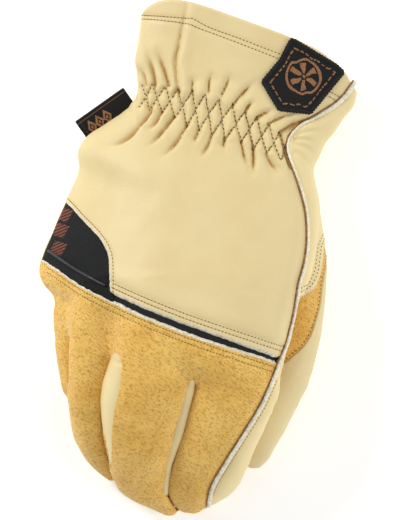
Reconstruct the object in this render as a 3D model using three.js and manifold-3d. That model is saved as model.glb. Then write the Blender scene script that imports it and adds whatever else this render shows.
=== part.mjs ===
// A leather driver glove for the right hand, lying palm down, fingers towards -Y, thumb towards +X.
// Every leather panel is a thin hollow wall. The walls are cut from one shell, which is the
// space between an outer and an inner set of tubes: the hand, four fingers and the thumb.
// Units are millimetres, +Z is up and the glove rests on z = 0.
import * as THREE from 'three';
import Module from 'manifold-3d';
import { mergeVertices } from 'three/addons/utils/BufferGeometryUtils.js';

const wasm = await Module();
wasm.setup();

// Driving sizes
const WALL = 1.8; // leather thickness
const HEM_WALL = 3.2; // two layers at the cuff hem
const HEM_STATION = 114; // where the hem's second layer ends
const CUFF_STATION = 122.5; // middle of the cuff's edge
const SEAM_GAP = 0.3; // clearance between two panels
const FINGER_GAP = 0.9; // clearance between two fingers
const SKEW = 0.36; // how far a hand section leans: station = y + SKEW * x
const SQUARENESS = 2.3; // exponent of every section, 2 is an ellipse
const BOW_POWER = 5; // how sharply a cuff section curves back at its two ends
const GATHER_COUNT = 12; // gathers across the back of the wrist
const GATHER_DEPTH = 1.3; // height of a gather above or below the mean surface
const GATHER_STATION = 73; // middle of the shirred band
const GATHER_REACH = 21; // how far a gather runs to each side of the band
const HEIGHT_LIMIT = 120; // anything above every part of the glove
const CENTRING_X = -0.4; // moves the tables' axes to the middle of the glove
const CENTRING_Y = -0.7;
const SHORTEST_EDGE = 0.12; // shorter edges are welded
const NEEDLE_EDGE = 0.3; // the same for the short side of a triangle with no width
const FLATTEST_FACE = 0.05; // flatter triangles share their corner with a neighbour

// Facets
const HAND_TOP_STEPS = 2 * GATHER_COUNT;
const HAND_UNDER_STEPS = 10;
const FINGER_STEPS = 12;
const THUMB_STEPS = 12;

function table(columns, rows) {
  return rows.map((row) => Object.fromEntries(columns.map((name, i) => [name, row[i]])));
}

// The hand from the cuff to the finger roots, a row for each section. left and right are the
// silhouette, leftZ and rightZ its heights, arch lifts the middle, top and under are the
// half thicknesses, bow draws the section's ends back.
const HAND = table(
  ['station', 'left', 'right', 'leftZ', 'rightZ', 'arch', 'top', 'under', 'bow'],
  [
    [122.5, -28.5, 75.8, 13, 13, 0, 13.5, 14.5, 14],
    [115, -28.8, 74, 13, 13, 0, 14, 14.5, 13],
    [104, -29.5, 70, 13.5, 13.5, 0, 14, 15, 9],
    [92, -30.7, 65.5, 14, 14, 0.5, 14.5, 15.5, 6],
    [82, -30, 61, 14.5, 14.5, 1, 15, 16, 3],
    [73, -29.3, 58, 14.5, 15, 1, 15, 16, 1.5],
    [66, -31.5, 57, 14.5, 16, 2, 16, 15.5, 0.5],
    [60, -35.5, 57, 14, 17.5, 3, 16.5, 16, 0],
    [50, -44.5, 57, 14, 20, 5, 17, 16.5, 0],
    [41, -53, 57, 14, 23, 7, 17.5, 17, 0],
    [33, -57.2, 56.5, 14, 26, 8.5, 17.5, 17, 0],
    [23, -57, 55.5, 14, 29.5, 10, 17, 17, 0],
    [11, -61.5, 53, 13.5, 33, 12, 16.5, 16.5, 0],
    [0, -65.5, 49.5, 13, 36.5, 14, 16, 15.5, 0],
    [-12, -69.8, 46, 13, 39.5, 15.5, 15.5, 14.5, 0],
    [-24, -74.3, 43, 13, 41.5, 17, 15, 13.5, 0],
    [-33, -76, 40.8, 13, 42, 17.5, 14.5, 13, 0],
    [-42, -71.5, 38.6, 13, 42, 17.5, 13.5, 12.5, 0],
    [-52, -66, 36.5, 13.5, 41, 17, 10.5, 10.5, 0],
    [-58, -62, 33, 15, 40, 16, 6, 6, 0],
  ],
);

// Fingers and thumb, a row for each section at constant y: centre, half width, half height.
const TUBE_COLUMNS = ['y', 'x', 'z', 'halfWidth', 'halfHeight'];
const INDEX = table(TUBE_COLUMNS, [
  [-18, 19, 42, 16, 12.5],
  [-40, 18, 42, 18.6, 14],
  [-58, 17, 40, 20, 15],
  [-70, 15, 37, 20.2, 15],
  [-84, 10.2, 31.5, 19, 14.8],
  [-98, 5.3, 24.5, 17.7, 14],
  [-107, 2.2, 18, 17, 13.5],
  [-113, -0.8, 13.4, 15, 12.5],
  [-118, -3.8, 10, 10.3, 9.5],
  [-121.4, -5, 8.5, 4, 4.5],
]);
const MIDDLE = table(TUBE_COLUMNS, [
  [-8, -20, 43, 17, 12],
  [-30, -22, 44.5, 19.5, 14],
  [-58, -24.5, 42, 21.3, 15.5],
  [-72, -25.8, 38, 20.6, 15.5],
  [-85, -27.2, 33, 18.4, 15],
  [-96, -27.8, 27.5, 15.8, 14.5],
  [-105, -27.6, 20.5, 14.4, 13.5],
  [-112, -25, 14.6, 13, 12],
  [-117, -20.5, 11, 9.5, 10],
  [-121, -15.5, 8.6, 5.5, 6.5],
  [-123.4, -14, 7.5, 2.5, 3],
]);
const RING = table(TUBE_COLUMNS, [
  [-8, -47, 33, 11, 12],
  [-28, -52, 31.5, 10, 13.5],
  [-48, -52.2, 30, 10.3, 13.5],
  [-65, -52.5, 27, 10.3, 13],
  [-78, -51.5, 23, 10, 12.5],
  [-87, -48.6, 19, 9.4, 12],
  [-95.5, -45.3, 14, 7.6, 10.5],
  [-102, -42.6, 10, 4.8, 7.5],
  [-106.3, -41, 8.4, 2, 3.5],
]);
const LITTLE = table(TUBE_COLUMNS, [
  [-8, -59, 17, 9, 11],
  [-28, -59, 13, 10, 13],
  [-45, -58, 12, 9.5, 12],
  [-58, -56.5, 11, 9, 11],
  [-66, -55.5, 9.5, 6.8, 8],
  [-70, -55, 9, 3, 4],
]);
const THUMB = table(TUBE_COLUMNS, [
  [46, 38, 15, 12, 10],
  [34, 38.5, 14.5, 18, 14],
  [18, 40.3, 14, 19.3, 14],
  [0, 41.3, 13.5, 20, 14],
  [-20, 41.3, 13.5, 19, 14],
  [-40, 40, 13.5, 17.3, 13.5],
  [-57, 37, 13, 16.4, 13],
  [-68.6, 33.5, 12.5, 15, 12.5],
  [-80, 29.5, 12, 13, 12],
  [-90, 27, 11, 9.8, 10.5],
  [-97, 26.6, 9.5, 6.4, 7],
  [-100.3, 27, 9, 2.5, 3.5],
]);

// Zones where a strip between two fingers takes the place of the back and palm leather. Each
// one ends inside both fingers' hollows, so it only cuts the two walls that face each other.
const GAP_COLUMNS = ['y', 'left', 'right', 'low', 'high'];
const GAP_INDEX_MIDDLE = table(GAP_COLUMNS, [
  [-53, -9, 3, 45, 57.5],
  [-63, -14, 4, 38.5, 48],
  [-80, -17, -1, 28, 41.5],
  [-96, -20, -5, 20.5, 33],
  [-106, -22, -8, 15.5, 26],
]);
const GAP_MIDDLE_RING = table(GAP_COLUMNS, [
  [-39, -46, -38, 20, 47],
  [-50, -46, -38, 24, 47],
  [-62, -46, -36, 30, 47],
  [-80, -46, -36, 25, 38],
  [-94, -44.5, -36, 18, 30],
]);
const GAP_RING_LITTLE = table(GAP_COLUMNS, [
  [-33, -66, -51, 13.3, 24],
  [-45, -65, -51, 12.6, 23],
  [-60, -63.5, -51, 11.2, 20],
]);

// The outseam seen from above: where the back leather ends on the thumb side
const SEAM = table(['station', 'x'], [
  [140, 86],
  [112, 73.4],
  [102, 67.4],
  [92, 57.8],
  [83, 48.4],
  [77, 43.8],
  [72, 41.9],
  [66, 42.8],
  [54, 47.4],
  [43, 50.6],
  [31, 51.4],
  [19, 50.7],
  [5, 47],
  [-8, 43.6],
  [-22, 40.3],
  [-33, 37.2],
  [-47, 34.4],
  [-61, 28.4],
  [-77, 19.8],
  [-94, 11],
  [-108, 4.9],
  [-117, 3.6],
  [-150, 3.6],
]);
// The slot between the back and the knuckle panel
const SLOT = table(['x', 'station'], [
  [-110, -21],
  [-76, -24.6],
  [-57, -29.8],
  [-38, -32.6],
  [-9, -34.2],
  [20, -33.8],
  [70, -32.6],
]);
const SLOT_WIDTH = 3.6;
const TAPE_END = -45; // where the slot's upper edge meets the woven tape
// Lower left edge of the back leather, around the woven tape
const TAPE_EDGE = [
  [-80, 36],
  [-66, 29],
  [-57, 20],
  [-49.5, 12.5],
  [-44.6, 5],
  [-43.2, -4],
  [-43.4, -24],
];
// Edge of the palm leather over the thumb web, and lower edge of the saddle
const MOUND_EDGE = [
  [14, -34],
  [28, -25],
  [40.3, -18.7],
  [48.5, -13.9],
  [53.3, -9.6],
  [57.1, -5],
  [74, 2],
];
const SADDLE_EDGE = [
  [74, -4],
  [68, -24],
  [57, -31],
  [51.8, -40.6],
  [46, -46],
  [40, -50],
  [26, -56],
  [8, -60],
];
const SADDLE_FLOOR = 13;
// Hexagonal patch on the cuff
const PATCH_OUTLINE = [
  [44.5, 106.5],
  [69.4, 91.7],
  [53, 71.3],
  [38.2, 72.7],
  [30.7, 85.9],
  [39.3, 96.5],
];
const PATCH_THICKNESS = 1.1;
// Folded tab in the little-finger seam
const TAB_OUTLINE = [
  [-59.3, 67.2],
  [-36.7, 83.2],
  [-29.2, 72.4],
  [-51.8, 56.4],
];
const TAB_HEIGHT = 14.5;
const TAB_THICKNESS = 1;
const WELT_RADIUS = 1.6;
const PIPING_RADIUS = 0.8;

// Cubic curve through a table's rows, read at one station
function read(rows, axis, key, at) {
  const up = rows[1][axis] > rows[0][axis] ? 1 : -1;
  const last = rows.length - 1;
  if ((at - rows[0][axis]) * up <= 0) return rows[0][key];
  if ((at - rows[last][axis]) * up >= 0) return rows[last][key];
  let i = 0;
  while ((at - rows[i + 1][axis]) * up > 0) i += 1;
  const slope = (a, b) => (rows[b][key] - rows[a][key]) / (rows[b][axis] - rows[a][axis]);
  const span = rows[i + 1][axis] - rows[i][axis];
  const here = slope(i, i + 1);
  const before = i > 0 ? (slope(i - 1, i) + here) / 2 : here;
  const after = i + 2 <= last ? (slope(i + 1, i + 2) + here) / 2 : here;
  const t = (at - rows[i][axis]) / span;
  const t2 = t * t;
  const t3 = t2 * t;
  return (2 * t3 - 3 * t2 + 1) * rows[i][key] + (t3 - 2 * t2 + t) * span * before
    + (3 * t2 - 2 * t3) * rows[i + 1][key] + (t3 - t2) * span * after;
}

function readAll(rows, axis, at) {
  const keys = Object.keys(rows[0]).filter((key) => key !== axis);
  return Object.fromEntries(keys.map((key) => [key, read(rows, axis, key, at)]));
}

const signedPower = (value, power) => Math.sign(value) * Math.abs(value) ** power;
const smooth = (t) => { const c = Math.min(1, Math.max(0, t)); return c * c * (3 - 2 * c); };

// A closed solid from equal rings of points, its ends capped by triangles between their corners
function loft(rings) {
  const count = rings[0].length;
  const faces = [];
  for (let r = 0; r + 1 < rings.length; r += 1) {
    for (let i = 0; i < count; i += 1) {
      const a = r * count + i;
      const b = r * count + ((i + 1) % count);
      faces.push([a, b, a + count], [b, b + count, a + count]);
    }
  }
  ladder(rings[0]).forEach(([a, b, c]) => faces.push([a, c, b]));
  const start = (rings.length - 1) * count;
  ladder(rings[rings.length - 1]).forEach((face) => faces.push(face.map((i) => i + start)));
  return solid(rings.flat(), faces);
}

// Triangles that close a ring, laid like rungs between its lower and its upper side
function ladder(ring) {
  const count = ring.length;
  const xs = ring.map((point) => point[0]);
  const first = xs.indexOf(Math.min(...xs));
  const last = xs.indexOf(Math.max(...xs));
  const [ahead, back] = [1, -1].map((step) => {
    const side = [first];
    while (side[side.length - 1] !== last) {
      side.push((side[side.length - 1] + step + count) % count);
    }
    return side;
  });
  const faces = [];
  let [i, j] = [0, 0];
  while (i + 1 < ahead.length || j + 1 < back.length) {
    const backDone = j + 1 === back.length;
    const aheadNext = i + 1 < ahead.length && xs[ahead[i + 1]] < xs[back[j + 1]];
    if (backDone || aheadNext) {
      faces.push([ahead[i], ahead[i + 1], back[j]]);
      i += 1;
    } else {
      faces.push([ahead[i], back[j + 1], back[j]]);
      j += 1;
    }
  }
  return faces.filter((face) => new Set(face).size === 3);
}

// A closed solid between a lower and an upper sheet, both given on the same grid
function slab(rows, columns, lower, upper) {
  const points = [];
  const faces = [];
  const at = (layer, i, j) => layer * rows * columns + i * columns + j;
  [lower, upper].forEach((sheet) => {
    for (let i = 0; i < rows; i += 1) for (let j = 0; j < columns; j += 1) points.push(sheet(i, j));
  });
  for (let i = 0; i + 1 < rows; i += 1) {
    for (let j = 0; j + 1 < columns; j += 1) {
      const [a, b, c, d] = [at(0, i, j), at(0, i + 1, j), at(0, i + 1, j + 1), at(0, i, j + 1)];
      const [e, f, g, h] = [at(1, i, j), at(1, i + 1, j), at(1, i + 1, j + 1), at(1, i, j + 1)];
      faces.push([a, c, b], [a, d, c], [e, f, g], [e, g, h]);
    }
  }
  const rim = [];
  for (let j = 0; j < columns; j += 1) rim.push([0, j]);
  for (let i = 1; i < rows; i += 1) rim.push([i, columns - 1]);
  for (let j = columns - 2; j >= 0; j -= 1) rim.push([rows - 1, j]);
  for (let i = rows - 2; i > 0; i -= 1) rim.push([i, 0]);
  rim.forEach((p, k) => {
    const q = rim[(k + 1) % rim.length];
    faces.push([at(0, ...p), at(1, ...p), at(0, ...q)], [at(0, ...q), at(1, ...p), at(1, ...q)]);
  });
  return solid(points, faces);
}

function solid(points, faces) {
  const geometry = new THREE.BufferGeometry();
  geometry.setAttribute('position', new THREE.Float32BufferAttribute(points.flat(), 3));
  geometry.setIndex(faces.flat());
  return solidOf(geometry);
}

function solidOf(geometry) {
  geometry.deleteAttribute('normal');
  geometry.deleteAttribute('uv');
  const merged = mergeVertices(geometry, 1e-4);
  const mesh = (triVerts) => new wasm.Mesh({
    numProp: 3, vertProperties: new Float32Array(merged.attributes.position.array), triVerts,
  });
  const triangles = Uint32Array.from(merged.index.array);
  const made = new wasm.Manifold(mesh(triangles));
  if (made.volume() > 0) return made;
  for (let i = 0; i < triangles.length; i += 3) triangles.subarray(i, i + 2).reverse();
  return new wasm.Manifold(mesh(triangles));
}

// Upright prism on a plan outline
function prism(outline, low = -10, high = HEIGHT_LIMIT) {
  const shape = new THREE.Shape(outline.map(([x, y]) => new THREE.Vector2(x, y)));
  const geometry = new THREE.ExtrudeGeometry(shape, { depth: high - low, bevelEnabled: false });
  geometry.translate(0, 0, low);
  return solidOf(geometry);
}

// Height of a gather's crest at one station, fading away from the shirred band
function gatherAt(station) {
  const reach = (station - GATHER_STATION) / GATHER_REACH;
  return Math.abs(reach) < 1 ? GATHER_DEPTH * Math.cos((reach * Math.PI) / 2) : 0;
}

// One point of a hand section: across runs from -1 at the little finger to 1 at the thumb
function handPoint(section, station, across, side, shrink, crest = 0) {
  const half = (section.right - section.left) / 2 - shrink;
  const x = (section.right + section.left) / 2 + half * across;
  const middle = handMiddle(section, across);
  const round = (1 - Math.abs(across) ** SQUARENESS) ** (1 / SQUARENESS);
  const tall = side > 0 ? section.top - shrink : shrink - section.under;
  const bowed = station - section.bow * Math.abs(across) ** BOW_POWER;
  const z = middle + tall * round + crest * gatherAt(bowed);
  return [x, bowed - SKEW * x, Math.max(z, shrink)];
}

function handMiddle(section, across) {
  const share = (across + 1) / 2;
  return section.leftZ + (section.rightZ - section.leftZ) * share + section.arch * (1 - across * across);
}

// Across positions, closer together near the two edges
function acrossSteps(count) {
  return Array.from({ length: count + 1 }, (_, i) => {
    const t = (2 * i) / count - 1;
    return 0.6 * t + 0.4 * Math.sin((Math.PI * t) / 2);
  });
}

// Crests and valleys alternate over the back and stay clear of its two edges
function crestSign(k) {
  if (k < 2 || k > HAND_TOP_STEPS - 2) return 0;
  return k % 2 ? 1 : -1;
}

function handTube(wallAt, stations) {
  const top = acrossSteps(HAND_TOP_STEPS);
  const under = acrossSteps(HAND_UNDER_STEPS).slice(1, -1).reverse();
  return loft(stations.map((station) => {
    const section = readAll(HAND, 'station', Math.min(station, CUFF_STATION));
    const shrink = wallAt(station);
    return [
      ...top.map((across, k) => handPoint(section, station, across, 1, shrink, crestSign(k))),
      ...under.map((across) => handPoint(section, station, across, -1, shrink)),
    ];
  }));
}

const HAND_STATIONS = [122.5, 114, 102, 91, 84, 78, 73, 68, 62, 54, 42, 28, 12, -6, -22, -36, -48,
  -54, -58];
const handOuter = (grow = 0) => handTube(() => -grow, HAND_STATIONS);
function handInner() {
  const inside = [CUFF_STATION + 12, CUFF_STATION, HEM_STATION + 0.1, HEM_STATION - 0.1];
  const rest = HAND_STATIONS.slice(2, -2).concat(-55.4);
  return handTube((station) => (station > HEM_STATION ? HEM_WALL : WALL), inside.concat(rest));
}

function tubePoint(section, y, angle, grow) {
  const x = signedPower(Math.cos(angle), 2 / SQUARENESS) * (section.halfWidth + grow);
  const z = signedPower(Math.sin(angle), 2 / SQUARENESS) * (section.halfHeight + grow);
  return [section.x + x, y, Math.max(section.z + z, -grow)];
}

// A finger tube grown by a clearance or shrunk by a wall
function tube(rows, grow = 0, steps = FINGER_STEPS) {
  const last = rows.length - 1;
  const start = rows[0].y;
  const end = rows[last].y - grow;
  return loft(rows.map((row) => {
    const y = start + ((row.y - start) * (end - start)) / (rows[last].y - start);
    const section = readAll(rows, 'y', row.y);
    return Array.from({ length: steps }, (_, k) => {
      const angle = (2 * Math.PI * (k + 0.5)) / steps;
      return tubePoint({ ...section, halfWidth: Math.max(section.halfWidth, 1 - grow),
        halfHeight: Math.max(section.halfHeight, 1 - grow) }, y, angle, grow);
    });
  }));
}

// The forms, outer for zero grow and inner for a wall's shrink. A finger that lies on another
// presses its outline into it.
function fingers(grow) {
  const clear = FINGER_GAP - grow;
  return {
    index: tube(INDEX, grow),
    middle: tube(MIDDLE, grow).subtract(tube(INDEX, clear)),
    ring: tube(RING, grow).subtract(tube(MIDDLE, clear)),
    little: tube(LITTLE, grow).subtract(tube(RING, clear)),
  };
}

const join = (parts) => parts.reduce((sum, part) => sum.add(part));
const outerFingers = Object.values(fingers(0));
const innerFingers = Object.values(fingers(-WALL));
const handForm = join([handOuter(), ...outerFingers]);
const handHollow = join([handInner(), ...innerFingers]);
const clearOfFingers = (form, gap) => form.subtract(tube(INDEX, gap)).subtract(tube(MIDDLE, gap));
const thumbForm = clearOfFingers(tube(THUMB, 0, THUMB_STEPS), FINGER_GAP);
const thumbHollow = clearOfFingers(tube(THUMB, -WALL, THUMB_STEPS), FINGER_GAP + WALL);

// Palm leather covers the thumb mound down to the mound edge
const moundZone = prism([...MOUND_EDGE, [90, 60], [0, 60], [0, -34]]);
const palmForm = handForm.add(thumbForm.intersect(moundZone));
const shell = palmForm.subtract(handHollow).subtract(thumbHollow);

// Height of the middle surface that parts the back from the palm
const FINGER_ORDER = [LITTLE, RING, MIDDLE, INDEX];
function partingHeight(x, y) {
  const station = y + SKEW * x;
  const section = readAll(HAND, 'station', station);
  const across = (2 * x - section.left - section.right) / (section.right - section.left);
  const hand = handMiddle(section, Math.min(1, Math.max(-1, across)));
  const centres = FINGER_ORDER.map((rows) => readAll(rows, 'y', y));
  let i = 0;
  while (i < 2 && x > centres[i + 1].x) i += 1;
  const share = (x - centres[i].x) / (centres[i + 1].x - centres[i].x);
  const finger = centres[i].z + (centres[i + 1].z - centres[i].z) * Math.min(1, Math.max(0, share));
  return hand + (finger - hand) * smooth((-30 - station) / 20);
}

// The space over the parting surface and left of the outseam
function backZone(grow) {
  const stations = Array.from({ length: 31 }, (_, i) => 149.3 - 9.7 * i);
  const columns = 10;
  const place = (i, j) => {
    const edge = read(SEAM, 'station', 'x', stations[i]) + grow;
    const x = -100 + ((edge + 100) * j) / (columns - 1);
    return [x, stations[i] - SKEW * x];
  };
  return slab(
    stations.length, columns,
    (i, j) => { const [x, y] = place(i, j); return [x, y, partingHeight(x, y) - grow]; },
    (i, j) => [...place(i, j), HEIGHT_LIMIT],
  );
}

// A thin upright cut that follows a plan curve
function cut(path, width = SEAM_GAP) {
  const side = (i, sign) => {
    const before = path[Math.max(0, i - 1)];
    const after = path[Math.min(path.length - 1, i + 1)];
    const length = Math.hypot(after[0] - before[0], after[1] - before[1]);
    const nx = (-(after[1] - before[1]) / length) * (width / 2) * sign;
    const ny = ((after[0] - before[0]) / length) * (width / 2) * sign;
    return [path[i][0] + nx, path[i][1] + ny];
  };
  return slab(
    path.length, 2,
    (i, j) => [...side(i, j ? 1 : -1), -10],
    (i, j) => [...side(i, j ? 1 : -1), HEIGHT_LIMIT],
  );
}

function slotPath(offset) {
  return Array.from({ length: 30 }, (_, i) => {
    const x = -105 + 5.6 * i;
    return [x, read(SLOT, 'x', 'station', x) + offset - SKEW * x];
  });
}

function smoothPath(points, count) {
  const curve = new THREE.CatmullRomCurve3(points.map(([x, y]) => new THREE.Vector3(x, y, 0)));
  return curve.getPoints(count).map((p) => [p.x, p.y]);
}

function gapZone(rows, grow) {
  const last = rows.length - 1;
  return loft(rows.map((row, i) => {
    const y = row.y + (i === 0 ? grow : 0) - (i === last ? grow : 0);
    const [left, right] = [row.left - grow, row.right + grow];
    const [low, high] = [row.low - grow, row.high + grow];
    return [[left, y, low], [right, y, low], [right, y, high], [left, y, high]];
  }));
}

const gapZones = {
  fourchette_index_middle: (grow) => gapZone(GAP_INDEX_MIDDLE, grow),
  fourchette_middle_ring: (grow) => gapZone(GAP_MIDDLE_RING, grow),
  fourchette_ring_little: (grow) => gapZone(GAP_RING_LITTLE, grow),
};
const allGaps = join(Object.values(gapZones).map((zone) => zone(SEAM_GAP)));
const palm = shell.subtract(backZone(SEAM_GAP)).subtract(backZone(0)).subtract(allGaps);
const back = shell.intersect(backZone(0)).subtract(allGaps);
const backPieces = back
  .subtract(cut(slotPath(SLOT_WIDTH / 2).filter(([x]) => x > TAPE_END)))
  .subtract(cut(slotPath(-SLOT_WIDTH / 2)))
  .subtract(cut(smoothPath(TAPE_EDGE, 20)));

// The separate bodies that a cut has left, each as its corners and triangles
function loosePieces(body) {
  const { vertProperties, triVerts } = body.getMesh();
  const root = Array.from({ length: vertProperties.length / 3 }, (_, i) => i);
  const find = (i) => {
    let at = i;
    while (root[at] !== at) at = root[at];
    root[i] = at;
    return at;
  };
  for (let i = 0; i < triVerts.length; i += 3) {
    root[find(triVerts[i + 1])] = find(triVerts[i]);
    root[find(triVerts[i + 2])] = find(triVerts[i]);
  }
  const groups = new Map();
  for (let i = 0; i < triVerts.length; i += 3) {
    const key = find(triVerts[i]);
    if (!groups.has(key)) groups.set(key, []);
    groups.get(key).push([triVerts[i], triVerts[i + 1], triVerts[i + 2]]);
  }
  const corner = (i) => Array.from(vertProperties.subarray(3 * i, 3 * i + 3));
  return [...groups.values()].map((faces) => compact(corner, faces));
}

// The faces with their own list of corners
function compact(corner, faces) {
  const used = new Map();
  const points = [];
  const number = (i) => {
    if (!used.has(i)) {
      used.set(i, points.length);
      points.push(corner(i));
    }
    return used.get(i);
  };
  return { points, faces: faces.map((face) => face.map(number)) };
}

const between = (a, b) => Math.hypot(a[0] - b[0], a[1] - b[1], a[2] - b[2]);

// Height of a triangle over its longest side, with the number of that side
function flatness(points, face) {
  const [a, b, c] = face.map((i) => points[i]);
  const sides = [between(a, b), between(b, c), between(c, a)];
  const half = (sides[0] + sides[1] + sides[2]) / 2;
  const inside = half * (half - sides[0]) * (half - sides[1]) * (half - sides[2]);
  const longest = sides.indexOf(Math.max(...sides));
  return { height: (2 * Math.sqrt(Math.max(0, inside))) / sides[longest], longest };
}

// Welds the very short edges that cuts leave, and the short side of a triangle with no width
function weld({ points, faces }) {
  const root = points.map((_, i) => i);
  const find = (i) => (root[i] === i ? i : find(root[i]));
  faces.forEach((face) => {
    const needle = flatness(points, face).height < FLATTEST_FACE / 10;
    const shortest = needle ? NEEDLE_EDGE : SHORTEST_EDGE;
    face.forEach((a, k) => {
      const b = face[(k + 1) % 3];
      if (between(points[a], points[b]) < shortest) root[find(b)] = find(a);
    });
  });
  const seen = new Map();
  faces.map((face) => face.map(find)).forEach((face) => {
    if (new Set(face).size < 3) return;
    const key = [...face].sort((p, q) => p - q).join();
    if (seen.has(key)) seen.delete(key);
    else seen.set(key, face);
  });
  return compact((i) => points[i], [...seen.values()]);
}

// Turns the diagonal between a needle and its neighbour
function flip({ points, faces }) {
  for (let round = 0; round < 12; round += 1) {
    const owner = new Map();
    faces.forEach((face, f) => face.forEach((a, k) => owner.set(`${a},${face[(k + 1) % 3]}`, f)));
    const touched = new Set();
    faces.forEach((face, f) => {
      const { height, longest } = flatness(points, face);
      if (height > FLATTEST_FACE || touched.has(f)) return;
      const [u, v, w] = [0, 1, 2].map((k) => face[(longest + k) % 3]);
      const other = owner.get(`${v},${u}`);
      const d = faces[other].find((i) => i !== u && i !== v);
      if (touched.has(other) || owner.has(`${d},${w}`) || owner.has(`${w},${d}`)) return;
      const pair = [[u, d, w], [d, v, w]];
      const after = Math.min(...pair.map((made) => flatness(points, made).height));
      if (after <= height) return;
      [faces[f], faces[other]] = pair;
      touched.add(f).add(other);
    });
    if (touched.size === 0) break;
  }
  return { points, faces };
}

const tidy = (piece) => [weld, flip, weld, flip, weld, flip].reduce((made, step) => step(made), piece);

// Loose piece that has a corner nearest to a named point
function pieceNear(body, [x, y, z]) {
  const far = ({ points }) => Math.min(...points.map((p) => between(p, [x, y, z])));
  return loosePieces(body).sort((a, b) => far(a) - far(b))[0];
}

const largest = (body) => loosePieces(body).sort((a, b) => b.faces.length - a.faces.length)[0];

// The thumb beyond the mound edge, split into the saddle and the stall
const grownHand = join([handOuter(SEAM_GAP), ...Object.values(fingers(SEAM_GAP))]);
const thumbShell = thumbForm
  .subtract(moundZone.translate([SEAM_GAP, -SEAM_GAP, 0]))
  .subtract(grownHand)
  .subtract(thumbHollow);
const saddleOutline = [...MOUND_EDGE.map(([x, y]) => [x, y + 1]), ...SADDLE_EDGE];
const saddleZone = prism(saddleOutline, SADDLE_FLOOR);
const grownSaddle = join([saddleZone, saddleZone.translate([SEAM_GAP, -SEAM_GAP, -SEAM_GAP])]);

// Height of the glove's upper surface at a plan position
function topHeight(x, y) {
  const heights = [];
  const station = y + SKEW * x;
  const section = readAll(HAND, 'station', station);
  const across = (2 * x - section.left - section.right) / (section.right - section.left);
  if (Math.abs(across) < 1 && station > -58) {
    heights.push(handPoint(section, station, across, 1, 0)[2]);
  }
  [INDEX, MIDDLE, RING, LITTLE].forEach((rows) => {
    const part = readAll(rows, 'y', y);
    const t = Math.abs(x - part.x) / part.halfWidth;
    if (t < 1 && y < rows[0].y && y > rows[rows.length - 1].y) {
      heights.push(part.z + part.halfHeight * (1 - t ** SQUARENESS) ** (1 / SQUARENESS));
    }
  });
  return Math.max(...heights, 0);
}

// A round strip laid on the glove along a plan path
function strip(path, radius, lift) {
  const spine = path.map(([x, y]) => new THREE.Vector3(x, y, topHeight(x, y) + lift));
  const curve = new THREE.CatmullRomCurve3(spine);
  const round = new THREE.Shape();
  round.absarc(0, 0, radius, 0, 2 * Math.PI);
  const geometry = new THREE.ExtrudeGeometry(round, {
    steps: path.length, curveSegments: 3, extrudePath: curve, bevelEnabled: false,
  });
  return solidOf(geometry).subtract(grownHand);
}

const seamPath = Array.from({ length: 22 }, (_, i) => {
  const station = 109 - 10.3 * i;
  const x = read(SEAM, 'station', 'x', station);
  return [x + 0.4, station - SKEW * x];
});
const pipingPath = slotPath(SLOT_WIDTH / 2 + 1.6).filter(([x]) => x > -73 && x < -46);
const patchBand = handOuter(SEAM_GAP + PATCH_THICKNESS).subtract(handOuter(SEAM_GAP));

const LEATHER = { color: 0xe3d0a0, roughness: 0.55, metalness: 0 };
const SPLIT = { color: 0xd3a350, roughness: 0.95, metalness: 0 };
const RAW = { color: 0xd8d3c4, roughness: 0.95, metalness: 0 };
const BLACK = { color: 0x1b1b1d, roughness: 0.8, metalness: 0 };

const nodes = [
  ['back_panel', pieceNear(backPieces, [0, 30, 46]), LEATHER],
  ['knuckle_panel', pieceNear(backPieces, [-10, -60, 56]), SPLIT],
  ['slot_strip', pieceNear(backPieces, [10, -37.5, 58]), BLACK],
  ['side_tape', pieceNear(backPieces, [-60, 6, 26]), BLACK],
  ['palm_panel', largest(palm), LEATHER],
  ['thumb_saddle', largest(thumbShell.intersect(saddleZone)), SPLIT],
  ['thumb_stall', largest(thumbShell.subtract(grownSaddle)), LEATHER],
  ['side_welt', largest(strip(seamPath, WELT_RADIUS, 0.7)), RAW],
  ['tape_piping', largest(strip(pipingPath, PIPING_RADIUS, 0.6)), BLACK],
  ['cuff_patch', largest(patchBand.intersect(prism(PATCH_OUTLINE, SADDLE_FLOOR))), BLACK],
  ['side_tab', largest(prism(TAB_OUTLINE, TAB_HEIGHT, TAB_HEIGHT + TAB_THICKNESS)
    .subtract(handOuter(SEAM_GAP))), BLACK],
];
Object.entries(gapZones).forEach(([name, zone]) => {
  nodes.push([name, largest(shell.intersect(zone(0))), LEATHER]);
});

const glove = new THREE.Group();
glove.position.set(CENTRING_X, CENTRING_Y, 0);
nodes.forEach(([name, piece, finish]) => {
  const { points, faces } = tidy(piece);
  const geometry = new THREE.BufferGeometry();
  geometry.setAttribute('position', new THREE.Float32BufferAttribute(points.flat(), 3));
  geometry.setIndex(faces.flat());
  geometry.computeVertexNormals();
  const mesh = new THREE.Mesh(geometry, new THREE.MeshStandardMaterial(finish));
  mesh.name = name;
  glove.add(mesh);
});

export default glove;
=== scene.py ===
"""Leather driver glove with a shirred wrist, lying with the back of the hand up.

The glove is worked out as one smooth form from the same sections as the solids, given its
folds and gathers, and cut into the leather pieces that it is sewn from.
"""

import logging
import math
from dataclasses import dataclass, field
from enum import Enum

import bpy
import numpy as np
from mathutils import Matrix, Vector
from mathutils.bvhtree import BVHTree


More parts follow.
